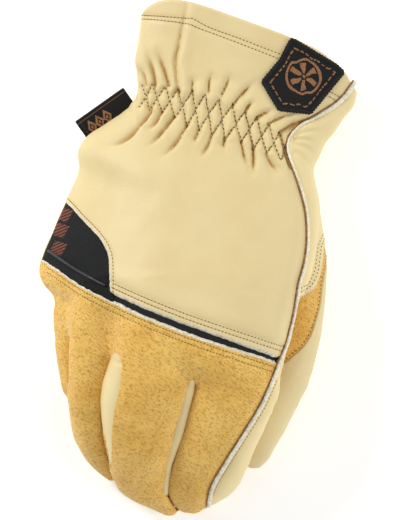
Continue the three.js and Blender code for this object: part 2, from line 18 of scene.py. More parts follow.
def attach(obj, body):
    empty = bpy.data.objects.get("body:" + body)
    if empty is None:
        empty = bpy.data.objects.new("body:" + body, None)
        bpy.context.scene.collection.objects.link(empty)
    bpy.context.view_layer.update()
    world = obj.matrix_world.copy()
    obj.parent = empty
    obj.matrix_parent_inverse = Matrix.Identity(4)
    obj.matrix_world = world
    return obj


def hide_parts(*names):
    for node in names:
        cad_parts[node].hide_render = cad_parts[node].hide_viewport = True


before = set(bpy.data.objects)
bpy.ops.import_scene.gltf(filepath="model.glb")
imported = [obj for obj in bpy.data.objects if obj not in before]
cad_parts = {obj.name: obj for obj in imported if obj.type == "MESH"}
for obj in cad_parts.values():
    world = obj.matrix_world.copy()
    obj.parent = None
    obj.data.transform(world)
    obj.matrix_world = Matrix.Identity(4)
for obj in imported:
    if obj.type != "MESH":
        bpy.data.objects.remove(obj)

LOG = logging.getLogger("glove")
MILLIMETRE = 0.001
CENTRING = np.array([-0.4, -0.7, 0.0])  # moves the tables' origin to the frame's
SKEW = 0.36  # how steeply a section's line runs down to the right
SQUARENESS = 2.3  # power of the squarish ovals
LEAST_RADIUS = 0.05  # keeps an oval's distance finite at its middle
LEAST_STEEPNESS = 0.012
BOW_POWER = 5
BOW_REACH = 1.06  # share of the half width at which the cuff's bow stops growing
HAND_END = -58.0
CUFF_STATION = 122.5
SEAM_SLOPE = 0.82  # turns a distance along x into one square to the outseam
SLOT_SLOPE = 0.93  # turns a distance along y into one square to the slot
PIPING_ROW = 3.9  # distance of the tape's piping from the slot
LEAST_RAW_REACH = 0.3  # an edge that stands out farther is slanted and raw
EDGE_RINGS = ((0.28, 0.85), (0.72, 0.95))  # share of an edge's depth, share of its bulge
NET_STEP = 1.05
LINE_STEP = 0.8
CURVE_STEPS = 24
LATTICE_SIZE = 4096
LATTICE_KEYS = (7349, 9151, 5323)
LATTICE_SHIFT = 1000.0
FAR = 1e9
OUTSIDE = 5.0  # any distance well outside a piece
WHITE = (1.0, 1.0, 1.0, 1.0)

Points = np.ndarray
Path = list[tuple[float, float]]
Colour = tuple[float, float, float, float]
Socket = bpy.types.NodeSocket


# Sections


class SectionTable:
    """Named columns of a table, read between its rows along a smooth curve."""

    def __init__(self, columns: list[str], rows: list[tuple[float, ...]]) -> None:
        """Keeps a finely sampled curve for each column after the first.

        Args:
            columns: Names of the columns. The first is the one the table is read along.
            rows: Numbers in millimetres, one tuple for each section.
        """
        data = np.array(sorted(rows), float)
        key = data[:, 0]
        slopes = np.diff(data, axis=0) / np.diff(key)[:, None]
        ends = np.vstack([slopes[:1], (slopes[1:] + slopes[:-1]) / 2, slopes[-1:]])
        self.first = float(key[0])
        self.last = float(key[-1])
        self.places = np.linspace(key[0], key[-1], 1200)
        i = np.clip(np.searchsorted(key, self.places, side="right") - 1, 0, len(key) - 2)
        span = (key[i + 1] - key[i])[:, None]
        t = (self.places - key[i])[:, None] / span
        curve = (
            (2 * t**3 - 3 * t**2 + 1) * data[i]
            + (t**3 - 2 * t**2 + t) * span * ends[i]
            + (3 * t**2 - 2 * t**3) * data[i + 1]
            + (t**3 - t**2) * span * ends[i + 1]
        )
        self.curves = {name: curve[:, n] for n, name in enumerate(columns) if n}

    def read(self, name: str, at: Points) -> Points:
        """Value of one column at each place."""
        return np.interp(at, self.places, self.curves[name])


HAND = SectionTable(
    ["station", "left", "right", "left_z", "right_z", "arch", "top", "under", "bow"],
    [
        (122.5, -28.5, 75.8, 13, 13, 0, 13.5, 14.5, 14),
        (115, -28.8, 74, 13, 13, 0, 14, 14.5, 13),
        (104, -29.5, 70, 13.5, 13.5, 0, 14, 15, 9),
        (92, -30.7, 65.5, 14, 14, 0.5, 14.5, 15.5, 6),
        (82, -30, 61, 14.5, 14.5, 1, 15, 16, 3),
        (73, -29.3, 58, 14.5, 15, 1, 15, 16, 1.5),
        (66, -31.5, 55.8, 14.5, 16, 2, 16, 15.5, 0.5),
        (60, -35.5, 55.2, 14, 17.5, 3, 16.5, 16, 0),
        (50, -44.8, 55.4, 14, 20, 5, 17, 16.5, 0),
        (41, -53.6, 56, 14, 23, 7, 17.5, 17, 0),
        (33, -58, 56.5, 14, 26, 8.5, 17.5, 17, 0),
        (23, -58, 55.5, 14, 29.5, 10, 17, 17, 0),
        (11, -62.4, 53, 13.5, 33, 12, 16.5, 16.5, 0),
        (0, -66.8, 49.5, 13, 36.5, 14, 16, 15.5, 0),
        (-12, -71.4, 46, 13, 39.5, 15.5, 15.5, 14.5, 0),
        (-24, -76, 43, 13, 41.5, 17, 15, 13.5, 0),
        (-32, -77.8, 40.8, 13, 42, 17.5, 14.5, 13, 0),
        (-37.5, -76, 39.8, 13, 42, 17.5, 14, 12.8, 0),
        (-42, -70, 38.6, 13, 42, 17.5, 13.5, 12.5, 0),
        (-52, -66, 36.5, 13.5, 41, 17, 10.5, 10.5, 0),
        (-58, -62, 33, 15, 40, 16, 6, 6, 0),
    ],
)
TUBE_COLUMNS = ["y", "x", "z", "half_width", "half_height"]
INDEX = SectionTable(
    TUBE_COLUMNS,
    [
        (-18, 19, 42, 16, 12.5), (-40, 18, 42, 18.6, 14), (-58, 17, 40, 20, 15),
        (-70, 14.4, 37, 20.8, 15), (-84, 9.5, 31.5, 19.7, 14.8), (-98, 4.6, 24.5, 18.4, 14),
        (-107, 1.5, 18, 17.7, 13.5), (-113, -1.1, 13.4, 15.4, 12.5), (-118, -3.8, 10, 10.3, 9.5),
        (-121.4, -5, 8.5, 4, 4.5),
    ],
)
MIDDLE = SectionTable(
    TUBE_COLUMNS,
    [
        (-8, -20, 43, 17, 12), (-30, -21, 44.5, 18.5, 14), (-58, -22.9, 42, 19.7, 15.5),
        (-72, -26.4, 38, 20, 15.5), (-85, -27.9, 33, 17.7, 15), (-96, -28.5, 27.5, 15.1, 14.5),
        (-105, -28.4, 20.5, 13.6, 13.5), (-112, -26, 14.6, 12, 12), (-117, -20.5, 11, 9.5, 10),
        (-121, -15.5, 8.6, 5.5, 6.5), (-123.4, -14, 7.5, 2.5, 3),
    ],
)
RING = SectionTable(
    TUBE_COLUMNS,
    [
        (-8, -47, 33, 11, 12), (-28, -50.5, 31.5, 11.5, 13.5), (-48, -50.7, 30.5, 11.8, 13.5),
        (-65, -51.9, 27.5, 10.9, 13), (-78, -51.5, 23, 10, 12.5), (-87, -49.2, 19, 10.2, 12),
        (-95.5, -46.2, 14, 8.9, 10.5), (-102, -43.3, 10, 6.2, 7.5), (-106.6, -41.3, 8.4, 2.8, 3.5),
    ],
)
LITTLE = SectionTable(
    TUBE_COLUMNS,
    [
        (-8, -59, 17, 9, 11), (-28, -59.2, 13, 10.5, 13), (-45, -58.5, 12, 10.3, 12),
        (-58, -57.1, 11, 9.8, 11), (-66, -56, 9.5, 7.6, 8), (-70, -55, 9, 3, 4),
    ],
)
THUMB = SectionTable(
    TUBE_COLUMNS,
    [
        (46, 38, 15, 12, 10), (34, 38.5, 14.5, 18, 14), (18, 40.3, 14, 19.3, 14),
        (0, 41.5, 13.5, 20.2, 14), (-20, 41.6, 13.5, 19.5, 14), (-40, 40.4, 13.5, 18, 13.5),
        (-57, 37.3, 13, 16.8, 13), (-68.6, 33.5, 12.5, 15, 12.5), (-80, 29.5, 12, 13, 12),
        (-90, 27, 11, 9.8, 10.5), (-97, 26.6, 9.5, 6.4, 7), (-100.3, 27, 9, 2.5, 3.5),
    ],
)
SEAM = SectionTable(
    ["station", "x"],
    [
        (140, 86), (112, 73.4), (102, 67.4), (92, 57.8), (83, 48.4), (77, 43.8), (72, 41.9),
        (66, 42.8), (54, 47.4), (43, 50.6), (31, 51.4), (19, 50.3), (5, 46.9), (0, 46.1),
        (-4, 45.5), (-8, 44.8), (-13, 43.8), (-18, 42.6), (-24, 41.1), (-30, 39.1), (-36, 36.9),
        (-42, 34.9), (-50, 31.9), (-58, 28.8), (-77, 19.5), (-94, 11), (-108, 4.9), (-117, 3.6),
        (-150, 3.6),
    ],
)
SLOT = SectionTable(
    ["x", "station"],
    [
        (-110, -21), (-76, -24.6), (-57, -29.8), (-38, -32.6), (-9, -34.2), (20, -33.8),
        (70, -32.6),
    ],
)

# Plan curves, each a list of x and y in millimetres
TAPE_EDGE: Path = [
    (-80, 36), (-66, 29), (-57, 20), (-49.5, 12.5), (-44.6, 5), (-43.2, -4), (-43.4, -24),
]
MOUND_EDGE: Path = [
    (14, -34), (28, -26), (40.3, -20.5), (46, -18.2), (50.9, -15.4), (55.2, -12.7), (58.6, -5.8),
    (60, 2.9), (61, 8), (66, 18),
]
SADDLE_EDGE: Path = [
    (66, 14), (61.6, -4), (60, -13), (58.9, -21.9), (56.5, -30), (53.7, -37), (49.3, -42.7),
    (44.5, -46.6), (40, -50), (26, -56), (8, -60),
]
SADDLE_RIDGE: Path = [(58.6, -6.7), (56.2, -16.3), (50.9, -24.5), (46.6, -29.3)]
PATCH_OUTLINE: Path = [
    (44.5, 106.5), (69.4, 91.7), (53, 71.3), (38.2, 72.7), (30.7, 85.9), (39.3, 96.5),
]
TAB_OUTLINE: Path = [(-59.3, 67.2), (-36.7, 83.2), (-29.2, 72.4), (-51.8, 56.4)]
HEM_ROWS: list[Path] = [
    [
        (-28.3, 118.8), (-21.6, 118.1), (-6.2, 116.7), (-2.9, 116.4), (4.8, 112.3), (19.7, 106.8),
        (30.2, 102.7), (41.8, 98.4),
    ],
    [
        (-28.3, 116.9), (-19.3, 116.0), (-5.6, 114.0), (-0.6, 112.0), (8.2, 108.8), (19.7, 104.4),
        (30.2, 100.3), (40.8, 96.2),
    ],
    [(61.9, 82.1), (70.1, 77.8)],
    [(60.5, 80.2), (68.2, 76.1)],
]
BAND_TOPS: Path = [
    (-27.4, 84.6), (-22.6, 85.0), (-16.3, 84.0), (-10.3, 82.6), (-3.4, 81.6), (2.9, 80.2),
    (9.6, 77.9), (16.1, 75.1), (22.1, 72.0), (27.7, 69.1), (33.8, 65.3), (38.7, 61.9), (43.7, 58.6),
]
BAND_FEET: Path = [
    (-28.8, 74.2), (-24.0, 72.5), (-17.8, 71.5), (-11.5, 68.6), (-5.8, 64.8), (0.2, 62.9),
    (6.2, 60.2), (12.5, 58.3), (20.5, 57.6), (26.4, 54.2), (32.6, 52.0), (39.3, 48.1), (44.2, 44.6),
]
CUFF_CREASE: Path = [(-9.4, 81.1), (-11.0, 94.6), (-9.6, 103.2), (-8.3, 109.9), (-5.3, 123.8)]
VALLEYS_OVER: list[Path] = [
    [(-14.9, 84.0), (-17.0, 91.2), (-19.6, 98.5), (-20.6, 106.0)],
    [(-21.6, 83.5), (-23.0, 91.2), (-25.3, 98.9), (-26.6, 104.0)],
    [(-25.9, 84.5), (-28.3, 91.2), (-30.2, 94.6)],
    [(-3.4, 81.6), (-3.4, 86.9), (-3.8, 90.0)],
    [(4.3, 81.1), (5.3, 87.8), (7.2, 92.2)],
    [(11.0, 80.2), (14.4, 87.8), (16.3, 91.2)],
    [(16.1, 75.1), (21.1, 81.1), (29.3, 87.8)],
    [(22.1, 72.5), (25.0, 75.8), (28.3, 76.8)],
    [(27.7, 69.1), (32.2, 71.3), (37.6, 72.5)],
    [(33.1, 65.8), (40.8, 69.6), (48.5, 71.3)],
    [(38.7, 61.9), (45.4, 65.8), (54.1, 68.6), (57.5, 70.2)],
]
VALLEYS_UNDER: list[Path] = [
    [(-23.2, 72.0), (-28.3, 65.8), (-33.6, 60.2), (-40.8, 56.4), (-50.2, 56.4)],
    [(-17.8, 72.5), (-21.1, 66.7), (-27.1, 61.9)],
    [(-11.5, 70.1), (-17.3, 62.9), (-22.6, 57.1), (-28.3, 53.3)],
    [(-5.6, 65.8), (-9.6, 58.6), (-14.4, 53.3), (-21.1, 48.0)],
    [(0.2, 62.9), (-3.4, 55.2)],
    [(6.2, 60.2), (3.8, 54.2), (-0.5, 48.0)],
    [(12.5, 58.6), (12.3, 53.3)],
    [(20.5, 57.6), (22.1, 49.9), (23.9, 43.7)],
    [(26.4, 54.2), (26.6, 47.0), (26.1, 38.9)],
    [(32.6, 51.5), (36.0, 46.1), (41.5, 40.4)],
]
SIDE_CREASES: list[Path] = [
    [(46.0, 58.6), (52.0, 58.2), (59.5, 56.0)],
    [(46.5, 56.0), (52.0, 54.4), (58.0, 50.6)],
    [(47.5, 60.8), (53.0, 62.6), (60.5, 63.2)],
    [(46.2, 52.4), (50.5, 49.4), (54.6, 45.2)],
    [(52.0, 66.5), (57.6, 69.2), (63.4, 69.8)],
]
LEAF_MIDDLE_RING: Path = [
    (-39.3, -43.7), (-41.3, -46.2), (-46.1, -59.5), (-47.0, -66.7), (-46.6, -78.7), (-44.2, -90.7),
    (-42.7, -102.2), (-41.8, -93.1), (-41.3, -81.1), (-39.8, -69.1), (-37.4, -59.5), (-36.4, -48.8),
    (-37.4, -44.8),
]
LEAF_INDEX_MIDDLE: Path = [
    (-3.2, -56.3), (-5.1, -58.6), (-8.2, -71.5), (-10.6, -78.7), (-14.9, -97.9), (-16.4, -108.2),
    (-15.7, -109.4), (-14.7, -104.1), (-11.2, -93.1), (-7.2, -81.1), (-4.8, -71.5), (-1.9, -61.0),
    (-2.2, -57.1),
]


# Small tools


def eased(t: Points) -> Points:
    """Runs from 0 to 1 with a soft start and end."""
    c = np.clip(t, 0.0, 1.0)
    return c * c * (3 - 2 * c)


def bell(distance: Points, width: float) -> Points:
    """Runs from 1 at no distance to 0 far past the width."""
    return np.exp(-((distance / width) ** 2))


def blended(a: Points, b: Points, reach: Points) -> Points:
    """Smaller of two fields, rounded where they cross."""
    h = np.clip(0.5 + 0.5 * (b - a) / reach, 0.0, 1.0)
    return b + (a - b) * h - reach * h * (1 - h)


def unit(vectors: Points) -> Points:
    """Vectors of length one."""
    return vectors / np.maximum(np.linalg.norm(vectors, axis=-1, keepdims=True), 1e-9)


def gathered(index: Points, rows: Points, count: int) -> Points:
    """Sum of the rows that go to each of some points."""
    sums = [np.bincount(index, weights=column, minlength=count) for column in rows.T]
    return np.stack(sums, axis=1)


def lattice_noise(points: Points, size: float, seed: int) -> Points:
    """Smooth noise from -1 to 1.

    Args:
        points: Rows of x, y and z in millimetres.
        size: Distance between two lattice points.
        seed: Chooses the pattern.

    Returns:
        One number for each point.
    """
    chosen = np.random.default_rng(seed).uniform(-1, 1, LATTICE_SIZE)
    place = points / size + LATTICE_SHIFT
    cell = np.floor(place).astype(np.int64)
    part = place - cell
    part = part * part * (3 - 2 * part)
    total = np.zeros(len(points))
    for corner in np.ndindex(2, 2, 2):
        key = ((cell + corner) * LATTICE_KEYS).sum(axis=1)
        share = np.abs(1 - np.array(corner) - part).prod(axis=1)
        total += chosen[key % LATTICE_SIZE] * share
    return total


def smooth_path(path: Path, step: float = LINE_STEP) -> Points:
    """Catmull-Rom curve through a plan path, in even steps.

    Args:
        path: Corners in millimetres.
        step: Distance between two points of the result.

    Returns:
        Rows of x and y.
    """
    p = np.array(path, float)
    p = np.vstack([2 * p[0] - p[1], p, 2 * p[-1] - p[-2]])
    pieces = []
    for a, b, c, d in zip(p, p[1:], p[2:], p[3:]):
        t = np.linspace(0, 1, CURVE_STEPS, endpoint=False)[:, None]
        pieces.append(
            0.5
            * (
                2 * b
                + (c - a) * t
                + (2 * a - 5 * b + 4 * c - d) * t**2
                + (3 * b - a - 3 * c + d) * t**3
            )
        )
    pieces.append(p[-2:-1])
    return evenly(np.vstack(pieces), step)


def lengths_along(line: Points) -> Points:
    """How far along a line each of its points lies."""
    return np.concatenate([[0], np.cumsum(np.linalg.norm(np.diff(line, axis=0), axis=1))])


def read_along(line: Points, at: Points) -> Points:
    """The line's points at some lengths along it."""
    lengths = lengths_along(line)
    return np.stack([np.interp(at, lengths, column) for column in line.T], axis=1)


def evenly(line: Points, step: float) -> Points:
    """The same line with points at even steps."""
    whole = lengths_along(line)[-1]
    return read_along(line, np.linspace(0, whole, max(2, int(round(whole / step)) + 1)))


def averaged(values: Points, reach: int) -> Points:
    """Running mean of a row of numbers, or of each column of a line."""
    if values.ndim > 1:
        return np.stack([averaged(column, reach) for column in values.T], axis=1)
    kernel = np.ones(2 * reach + 1) / (2 * reach + 1)
    return np.convolve(np.pad(values, reach, mode="edge"), kernel, "valid")


def off_path(x: Points, y: Points, line: Points) -> tuple[Points, Points, Points]:
    """Where plan points lie beside a line.

    Args:
        x: Plan positions across.
        y: Plan positions along.
        line: Rows of x and y.

    Returns:
        The distance, the side (positive on the left of the way the line runs), and the share
        of the line's length at the nearest point.
    """
    best = np.full(x.shape, FAR)
    side = np.zeros(x.shape)
    share = np.zeros(x.shape)
    steps = np.linalg.norm(np.diff(line, axis=0), axis=1)
    whole = steps.sum()
    gone = 0.0
    for (ax, ay), (bx, by), length in zip(line, line[1:], steps):
        ux, uy = (bx - ax) / length, (by - ay) / length
        along = np.clip((x - ax) * ux + (y - ay) * uy, 0, length)
        dx, dy = x - ax - along * ux, y - ay - along * uy
        distance = np.hypot(dx, dy)
        nearer = distance < best
        best = np.where(nearer, distance, best)
        side = np.where(nearer, np.sign(ux * dy - uy * dx), side)
        share = np.where(nearer, (gone + along) / whole, share)
        gone += length
    return best, side, share


def inside_outline(x: Points, y: Points, outline: Path) -> Points:
    """Distance to a closed outline, negative inside."""
    line = np.array(outline + outline[:1], float)
    distance, _, _ = off_path(x, y, line)
    crossings = np.zeros(x.shape, bool)
    for (ax, ay), (bx, by) in zip(line, line[1:]):
        if ay == by:
            continue
        within = (ay > y) != (by > y)
        crossings ^= within & (x < (bx - ax) * (y - ay) / (by - ay) + ax)
    return np.where(crossings, -distance, distance)


# The glove's form


@dataclass(frozen=True)
class Web:
    """Where two neighbouring fingers part, along y.

    Attributes:
        merge: Above it the two run into each other.
        groove: Below it a groove runs between them.
    """

    merge: float
    groove: float


WEBS = (Web(-55.0, -60.0), Web(-44.0, -50.0), Web(-34.0, -34.0))


@dataclass(frozen=True)
class Joins:
    """How softly the parts of the form run into each other, in millimetres."""

    hand: float = 4.0
    fingers: float = 1.0
    webbed: float = 7.0  # what the web between two fingers adds
    thumb: float = 0.6  # where the palm leather leaves the thumb free
    mound: float = 5.0  # what the mound of the thumb under the palm leather adds
    floor: float = 2.5


JOINS = Joins()


def section_distance(dx: Points, dz: Points, half_width: Points, half_height: Points) -> Points:
    """Distance to a squarish oval, negative inside."""
    c = np.abs(dx) / half_width
    d = np.abs(dz) / half_height
    r = np.maximum((c**SQUARENESS + d**SQUARENESS) ** (1 / SQUARENESS), LEAST_RADIUS)
    steep = np.hypot(c ** (SQUARENESS - 1) / half_width, d ** (SQUARENESS - 1) / half_height)
    return (r - 1) / np.maximum(steep * r ** (1 - SQUARENESS), LEAST_STEEPNESS)


def tube_distance(rows: SectionTable, x: Points, y: Points, z: Points) -> Points:
    """Distance to a finger or the thumb, negative inside."""
    at = np.clip(y, rows.first, rows.last)
    round_part = section_distance(
        x - rows.read("x", at),
        z - rows.read("z", at),
        rows.read("half_width", at),
        rows.read("half_height", at),
    )
    ends = np.maximum(rows.first - y, y - rows.last)
    return np.maximum(round_part, ends)


def hand_station(x: Points, y: Points) -> tuple[Points, Points]:
    """Station of a plan point's section, and how far across that section it lies."""
    station = y + SKEW * x
    across = np.zeros(np.broadcast(x, y).shape)
    bent = station + 0 * x
    for _ in range(3):
        left, right = HAND.read("left", bent), HAND.read("right", bent)
        across = (2 * x - left - right) / (right - left)
        bow = np.minimum(np.abs(across), BOW_REACH) ** BOW_POWER
        bent = station + HAND.read("bow", bent) * bow
    return bent, across


def hand_middle(station: Points, across: Points) -> Points:
    """Height of the surface halfway between back and palm."""
    low, high = HAND.read("left_z", station), HAND.read("right_z", station)
    inner = np.clip(across, -1, 1)
    return low + (high - low) * (inner + 1) / 2 + HAND.read("arch", station) * (1 - inner**2)


def hand_distance(x: Points, y: Points, z: Points) -> Points:
    """Distance to the hand from the cuff to the finger roots, negative inside."""
    station, across = hand_station(x, y)
    half = (HAND.read("right", station) - HAND.read("left", station)) / 2
    dz = z - hand_middle(station, across)
    tall = np.where(dz > 0, HAND.read("top", station), HAND.read("under", station))
    return np.maximum(section_distance(across * half, dz, half, tall), HAND_END - station)


def fingers_distance(x: Points, y: Points, z: Points) -> Points:
    """Distance to the four fingers with the grooves between them, negative inside."""
    tubes = [tube_distance(rows, x, y, z) for rows in (INDEX, MIDDLE, RING, LITTLE)]
    total = tubes[0]
    for web, tube in zip(WEBS, tubes[1:]):
        reach = JOINS.fingers + JOINS.webbed * eased((y - web.merge + 8) / 12)
        total = blended(total, tube, reach)
    for web, a, b in zip(WEBS, tubes, tubes[1:]):
        depth = np.clip(1 + total / 6.5, 0, 1)
        width = 0.75 * depth * eased((web.groove - y) / 12)
        total = np.maximum(total, width - np.abs(a - b) / 2)
    return total


def mound_side(x: Points, y: Points) -> Points:
    """Distance past the palm leather's edge on the thumb, positive over the mound."""
    distance, side, _ = off_path(x, y, smooth_path(MOUND_EDGE, 2.0))
    return distance * side


def glove_distance(x: Points, y: Points, z: Points, mound: Points) -> Points:
    """Distance to the whole glove, negative inside.

    Args:
        x: Positions across.
        y: Positions along.
        z: Heights.
        mound: What mound_side gives for the same plan positions.

    Returns:
        The distance field.
    """
    fingers = fingers_distance(x, y, z)
    hand = blended(hand_distance(x, y, z), fingers, JOINS.hand)
    thumb = tube_distance(THUMB, x, y, z)
    reach = JOINS.thumb + JOINS.mound * eased((mound + 3) / 14)
    whole = blended(hand, thumb, reach)
    return -blended(-whole, z, JOINS.floor)


def sides_of(faces: Points) -> Points:
    """The three sides of each triangle, in the direction that it runs."""
    return faces[:, [0, 1, 1, 2, 2, 0]].reshape(-1, 2)


@dataclass
class Surface:
    """Triangles of leather: where the plain form is, its normals, and the finished points."""

    base: Points
    normal: Points
    point: Points
    faces: Points

    def compact(self) -> "Surface":
        """The same surface without unused points."""
        used, index = np.unique(self.faces, return_inverse=True)
        return Surface(
            self.base[used], self.normal[used], self.point[used], index.reshape(self.faces.shape)
        )

    def refined(self) -> "Surface":
        """Each triangle cut into four."""
        edges = np.sort(sides_of(self.faces), axis=1)
        pairs, index = np.unique(edges, axis=0, return_inverse=True)
        middle = index.reshape(-1, 3) + len(self.base)
        a, b, c = self.faces.T
        ab, bc, ca = middle.T
        faces = np.concatenate(
            [
                np.stack([a, ab, ca], 1),
                np.stack([b, bc, ab], 1),
                np.stack([c, ca, bc], 1),
                np.stack([ab, bc, ca], 1),
            ]
        )

        def halfway(array: Points) -> Points:
            """The array with a row for the middle of each edge."""
            return np.vstack([array, (array[pairs[:, 0]] + array[pairs[:, 1]]) / 2])

        return Surface(halfway(self.base), halfway(self.normal), halfway(self.point), faces)

    def cut(self, value: Points, snap: float = 0.12) -> "Surface":
        """The part where a value is below zero.

        Args:
            value: One number for each point, about a distance in millimetres.
            snap: Points nearer to the cut than this become corners of the edge.

        Returns:
            The part, with its edge on the zero line.
        """
        value = np.where(np.abs(value) < snap, 0.0, value)
        kept = value <= 0
        inside = kept[self.faces]
        count = inside.sum(1)
        whole = self.faces[count == 3]
        crossed = self.faces[(count == 1) | (count == 2)]
        corner = kept[crossed]
        lone_in = corner.sum(1) == 1
        lone = np.where(lone_in, corner.argmax(1), (~corner).argmax(1))
        turned = crossed[np.arange(len(crossed))[:, None], (lone[:, None] + np.arange(3)) % 3]
        a, b, c = turned.T
        edges = np.sort(np.concatenate([np.stack([a, b], 1), np.stack([a, c], 1)]), axis=1)
        pairs, index = np.unique(edges, axis=0, return_inverse=True)
        index = index.reshape(-1)
        first, second = pairs.T
        t = (value[first] / (value[first] - value[second]))[:, None]
        number = len(self.base) + np.arange(len(pairs))
        number = np.where(value[first] == 0, first, number)
        number = np.where(value[second] == 0, second, number)
        ab, ac = number[index[: len(a)]], number[index[len(a) :]]
        faces = [
            whole,
            np.stack([a, ab, ac], 1)[lone_in],
            np.stack([ab, b, c], 1)[~lone_in],
            np.stack([ab, c, ac], 1)[~lone_in],
        ]
        faces = np.concatenate(faces)
        real = (faces != np.roll(faces, 1, axis=1)).all(axis=1)

        def added(array: Points) -> Points:
            """The array with a row for each edge that the zero line crosses."""
            return np.vstack([array, array[first] + (array[second] - array[first]) * t])

        return Surface(
            added(self.base), added(self.normal), added(self.point), faces[real]
        ).compact()


def neighbour_mean(values: Points, edges: Points) -> Points:
    """Mean of each point's neighbours."""
    both = np.concatenate([edges, edges[:, ::-1]])
    count = np.bincount(both[:, 0], minlength=len(values))
    sums = gathered(both[:, 0], values[both[:, 1]], len(values))
    return sums / np.maximum(count, 1)[:, None]


def edges_of(faces: Points) -> Points:
    """Each edge of some triangles once."""
    return np.unique(np.sort(sides_of(faces), axis=1), axis=0)


def normals_of(points: Points, faces: Points) -> Points:
    """Unit normals at the points."""
    a, b, c = (points[faces[:, k]] for k in range(3))
    flat = np.cross(b - a, c - a)
    return unit(sum(gathered(faces[:, k], flat, len(points)) for k in range(3)))


class SmoothForm:
    """The glove as one closed smooth surface, before it is cut into pieces."""

    ranges = ((-84.0, 85.0), (-131.0, 138.0), (-2.3, 69.0))
    rounds = 5
    shrink = 0.5
    swell = 0.52

    def __init__(self, step: float) -> None:
        """Sets the grid on which the form is worked out."""
        self.xs, self.ys, self.zs = (np.arange(low, high, step) for low, high in self.ranges)

    def field(self) -> Points:
        """The distance field on the grid."""
        x = self.xs[:, None, None]
        y = self.ys[None, :, None]
        z = self.zs[None, None, :]
        mound = mound_side(x + 0 * y, y + 0 * x)
        return glove_distance(x, y, z, mound).astype(np.float32)

    def net(self) -> tuple[Points, Points]:
        """Points and triangles of the zero surface, one point in each crossed cell."""
        grid = self.field()
        low = grid < 0
        cells = tuple(n - 1 for n in grid.shape)
        axes = [self.xs, self.ys, self.zs]
        numbers, crossings, quads = [], [], []
        for axis in range(3):
            u, v = (axis + 1) % 3, (axis + 2) % 3
            near = [slice(None)] * 3
            far = [slice(None)] * 3
            near[axis], far[axis] = slice(None, -1), slice(1, None)
            at = np.argwhere(low[tuple(near)] != low[tuple(far)])
            keep = (at[:, u] > 0) & (at[:, v] > 0)
            keep &= (at[:, u] < cells[u]) & (at[:, v] < cells[v])
            at = at[keep]
            nxt = at.copy()
            nxt[:, axis] += 1
            a, b = grid[tuple(at.T)], grid[tuple(nxt.T)]
            place = np.stack([axes[k][at[:, k]] for k in range(3)], axis=1)
            place[:, axis] += (a / (a - b)) * (axes[axis][1] - axes[axis][0])
            ring = []
            for du, dv in ((0, 0), (1, 0), (1, 1), (0, 1)):
                cell = at.copy()
                cell[:, u] -= du
                cell[:, v] -= dv
                ring.append(np.ravel_multi_index(tuple(cell.T), cells))
                numbers.append(ring[-1])
                crossings.append(place)
            quad = np.stack(ring, axis=1)
            outward = a < 0
            quads.append(np.where(outward[:, None], quad, quad[:, ::-1]))
        every, place = np.concatenate(numbers), np.concatenate(crossings)
        used, index = np.unique(every, return_inverse=True)
        points = gathered(index, place, len(used)) / np.bincount(index)[:, None]
        quad = np.searchsorted(used, np.concatenate(quads))
        one = np.linalg.norm(points[quad[:, 0]] - points[quad[:, 2]], axis=1)
        two = np.linalg.norm(points[quad[:, 1]] - points[quad[:, 3]], axis=1)
        quad = np.where((one < two)[:, None], quad, np.roll(quad, 1, axis=1))
        return points, np.concatenate([quad[:, [0, 1, 2]], quad[:, [0, 2, 3]]])

    def surface(self) -> Surface:
        """The smoothed form, not yet folded."""
        points, faces = self.net()
        edges = edges_of(faces)
        for _ in range(self.rounds):
            points = points + self.shrink * (neighbour_mean(points, edges) - points)
            points = points - self.swell * (neighbour_mean(points, edges) - points)
        normal = normals_of(points, faces)
        for _ in range(2):
            normal = neighbour_mean(normal, edges)
            normal /= np.linalg.norm(normal, axis=1)[:, None]
        return Surface(points, normal, points.copy(), faces)


# Plan fields


